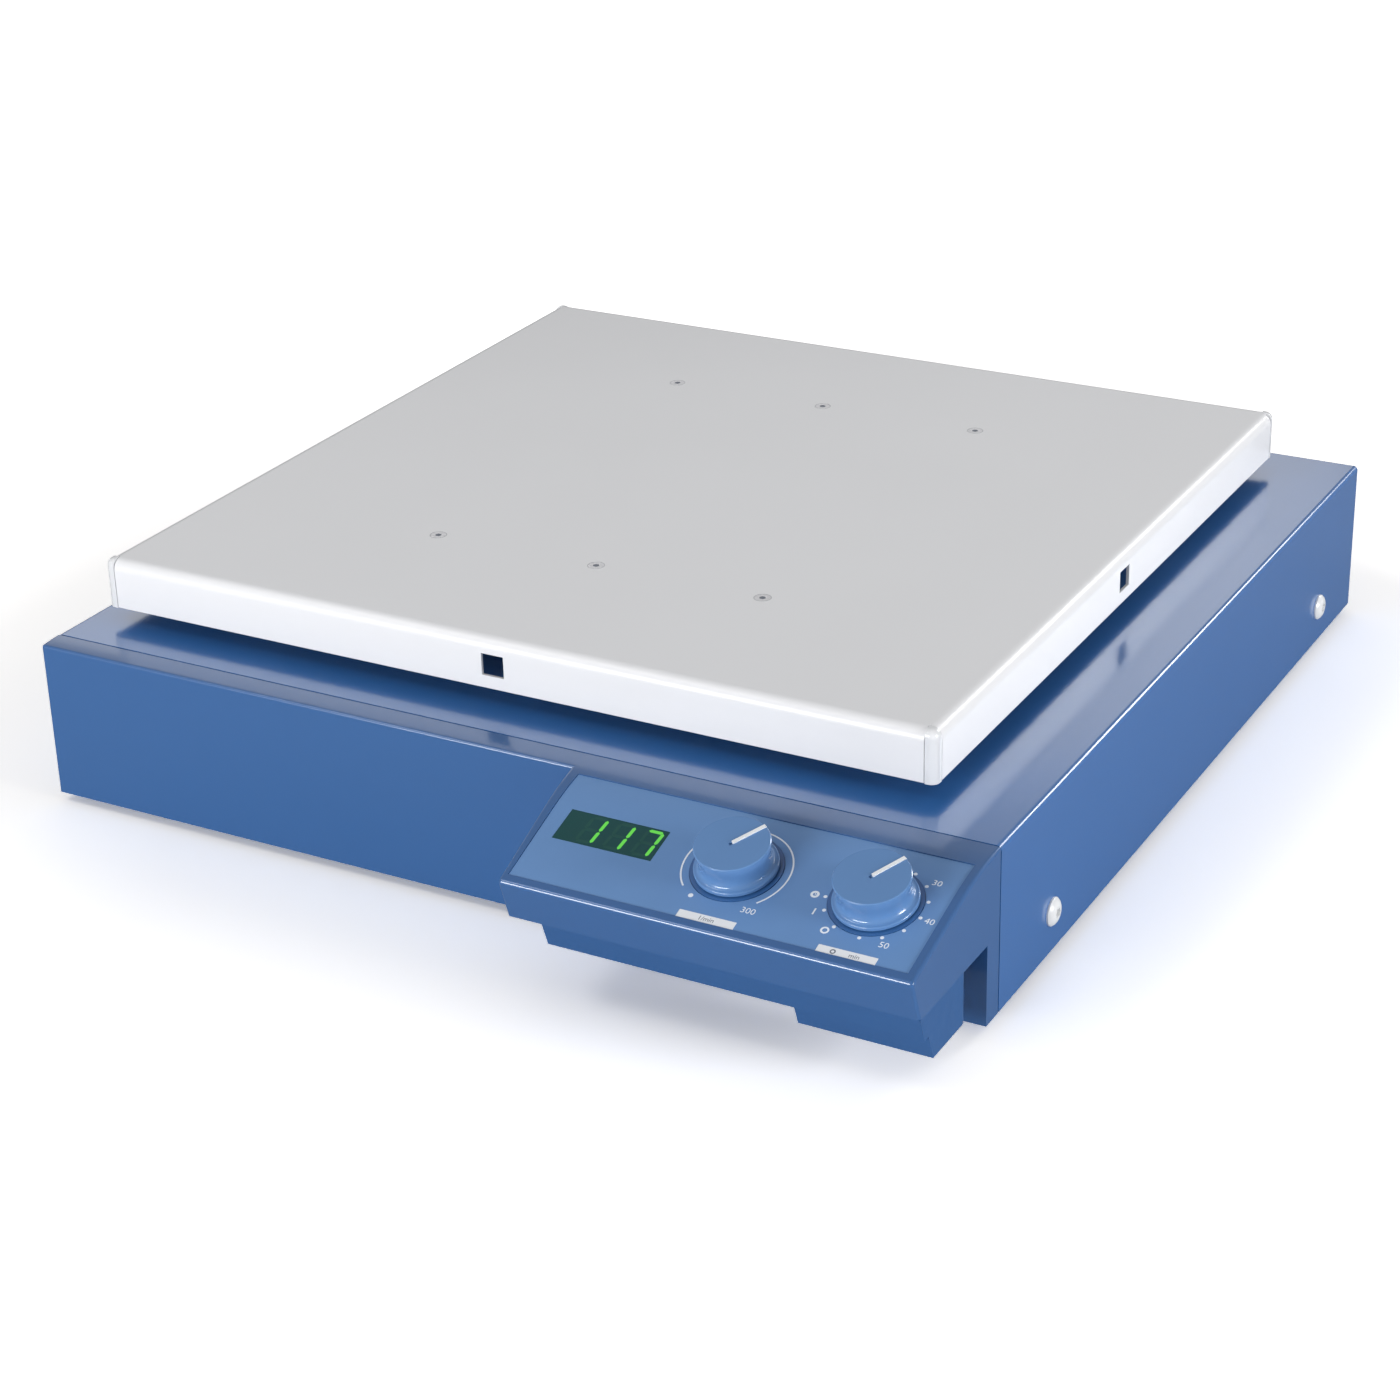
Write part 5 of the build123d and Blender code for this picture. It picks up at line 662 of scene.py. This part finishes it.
tree.links.new(surface, tree.nodes["Material Output"].inputs["Surface"])

floor_mesh = bpy.data.meshes.new("floor")
half = FLOOR_SIZE / 2
floor_corners = [(-half, -half, 0), (half, -half, 0), (half, half, 0), (-half, half, 0)]
floor_mesh.from_pydata(floor_corners, [], [(0, 1, 2, 3)])
floor_mesh.materials.append(floor_material)
floor = bpy.data.objects.new("floor", floor_mesh)
bpy.context.scene.collection.objects.link(floor)

world = bpy.data.worlds.new("studio")
bpy.context.scene.world = world
world.use_nodes = True
tree = world.node_tree
background = tree.nodes["Background"]
background.inputs["Color"].default_value = (1, 1, 1, 1)
path = tree.nodes.new("ShaderNodeLightPath")
seen = tree.nodes.new("ShaderNodeMath")
seen.operation = "MAXIMUM"
strength = tree.nodes.new("ShaderNodeMapRange")
strength.inputs["To Min"].default_value = WORLD_LIGHT
strength.inputs["To Max"].default_value = WORLD_SEEN
tree.links.new(path.outputs["Is Camera Ray"], seen.inputs[0])
tree.links.new(path.outputs["Is Transmission Ray"], seen.inputs[1])
tree.links.new(seen.outputs[0], strength.inputs["Value"])
tree.links.new(strength.outputs["Result"], background.inputs["Strength"])


# Lamps and camera


def softbox(name, place, aim, size, power):
    """A rectangular soft light at a place, turned towards a point."""
    light = bpy.data.lights.new(name, "AREA")
    light.shape = "RECTANGLE"
    light.size, light.size_y = size
    light.energy = power
    lamp = bpy.data.objects.new(name, light)
    bpy.context.scene.collection.objects.link(lamp)
    lamp.location = place
    lamp.rotation_euler = (Vector(aim) - Vector(place)).to_track_quat("-Z", "Y").to_euler()


for name, setting in LAMPS.items():
    softbox(name, *setting)

back = Vector((
    math.sin(CAMERA_AZIMUTH) * math.cos(CAMERA_ELEVATION),
    -math.cos(CAMERA_AZIMUTH) * math.cos(CAMERA_ELEVATION),
    math.sin(CAMERA_ELEVATION),
))
right = Vector((math.cos(CAMERA_AZIMUTH), math.sin(CAMERA_AZIMUTH), 0))
up = back.cross(right)
rolled_right = right * math.cos(CAMERA_ROLL) + up * math.sin(CAMERA_ROLL)
rolled_up = up * math.cos(CAMERA_ROLL) - right * math.sin(CAMERA_ROLL)
camera_data = bpy.data.cameras.new("camera")
camera_data.lens = CAMERA_LENS
camera_data.sensor_width = CAMERA_SENSOR
camera = bpy.data.objects.new("camera", camera_data)
bpy.context.scene.collection.objects.link(camera)
turn = Matrix((rolled_right, rolled_up, back)).transposed().to_4x4()
camera.matrix_world = Matrix.Translation(CAMERA_TARGET + back * CAMERA_DISTANCE) @ turn
bpy.context.scene.camera = camera
bpy.context.scene.view_settings.view_transform = "Standard"
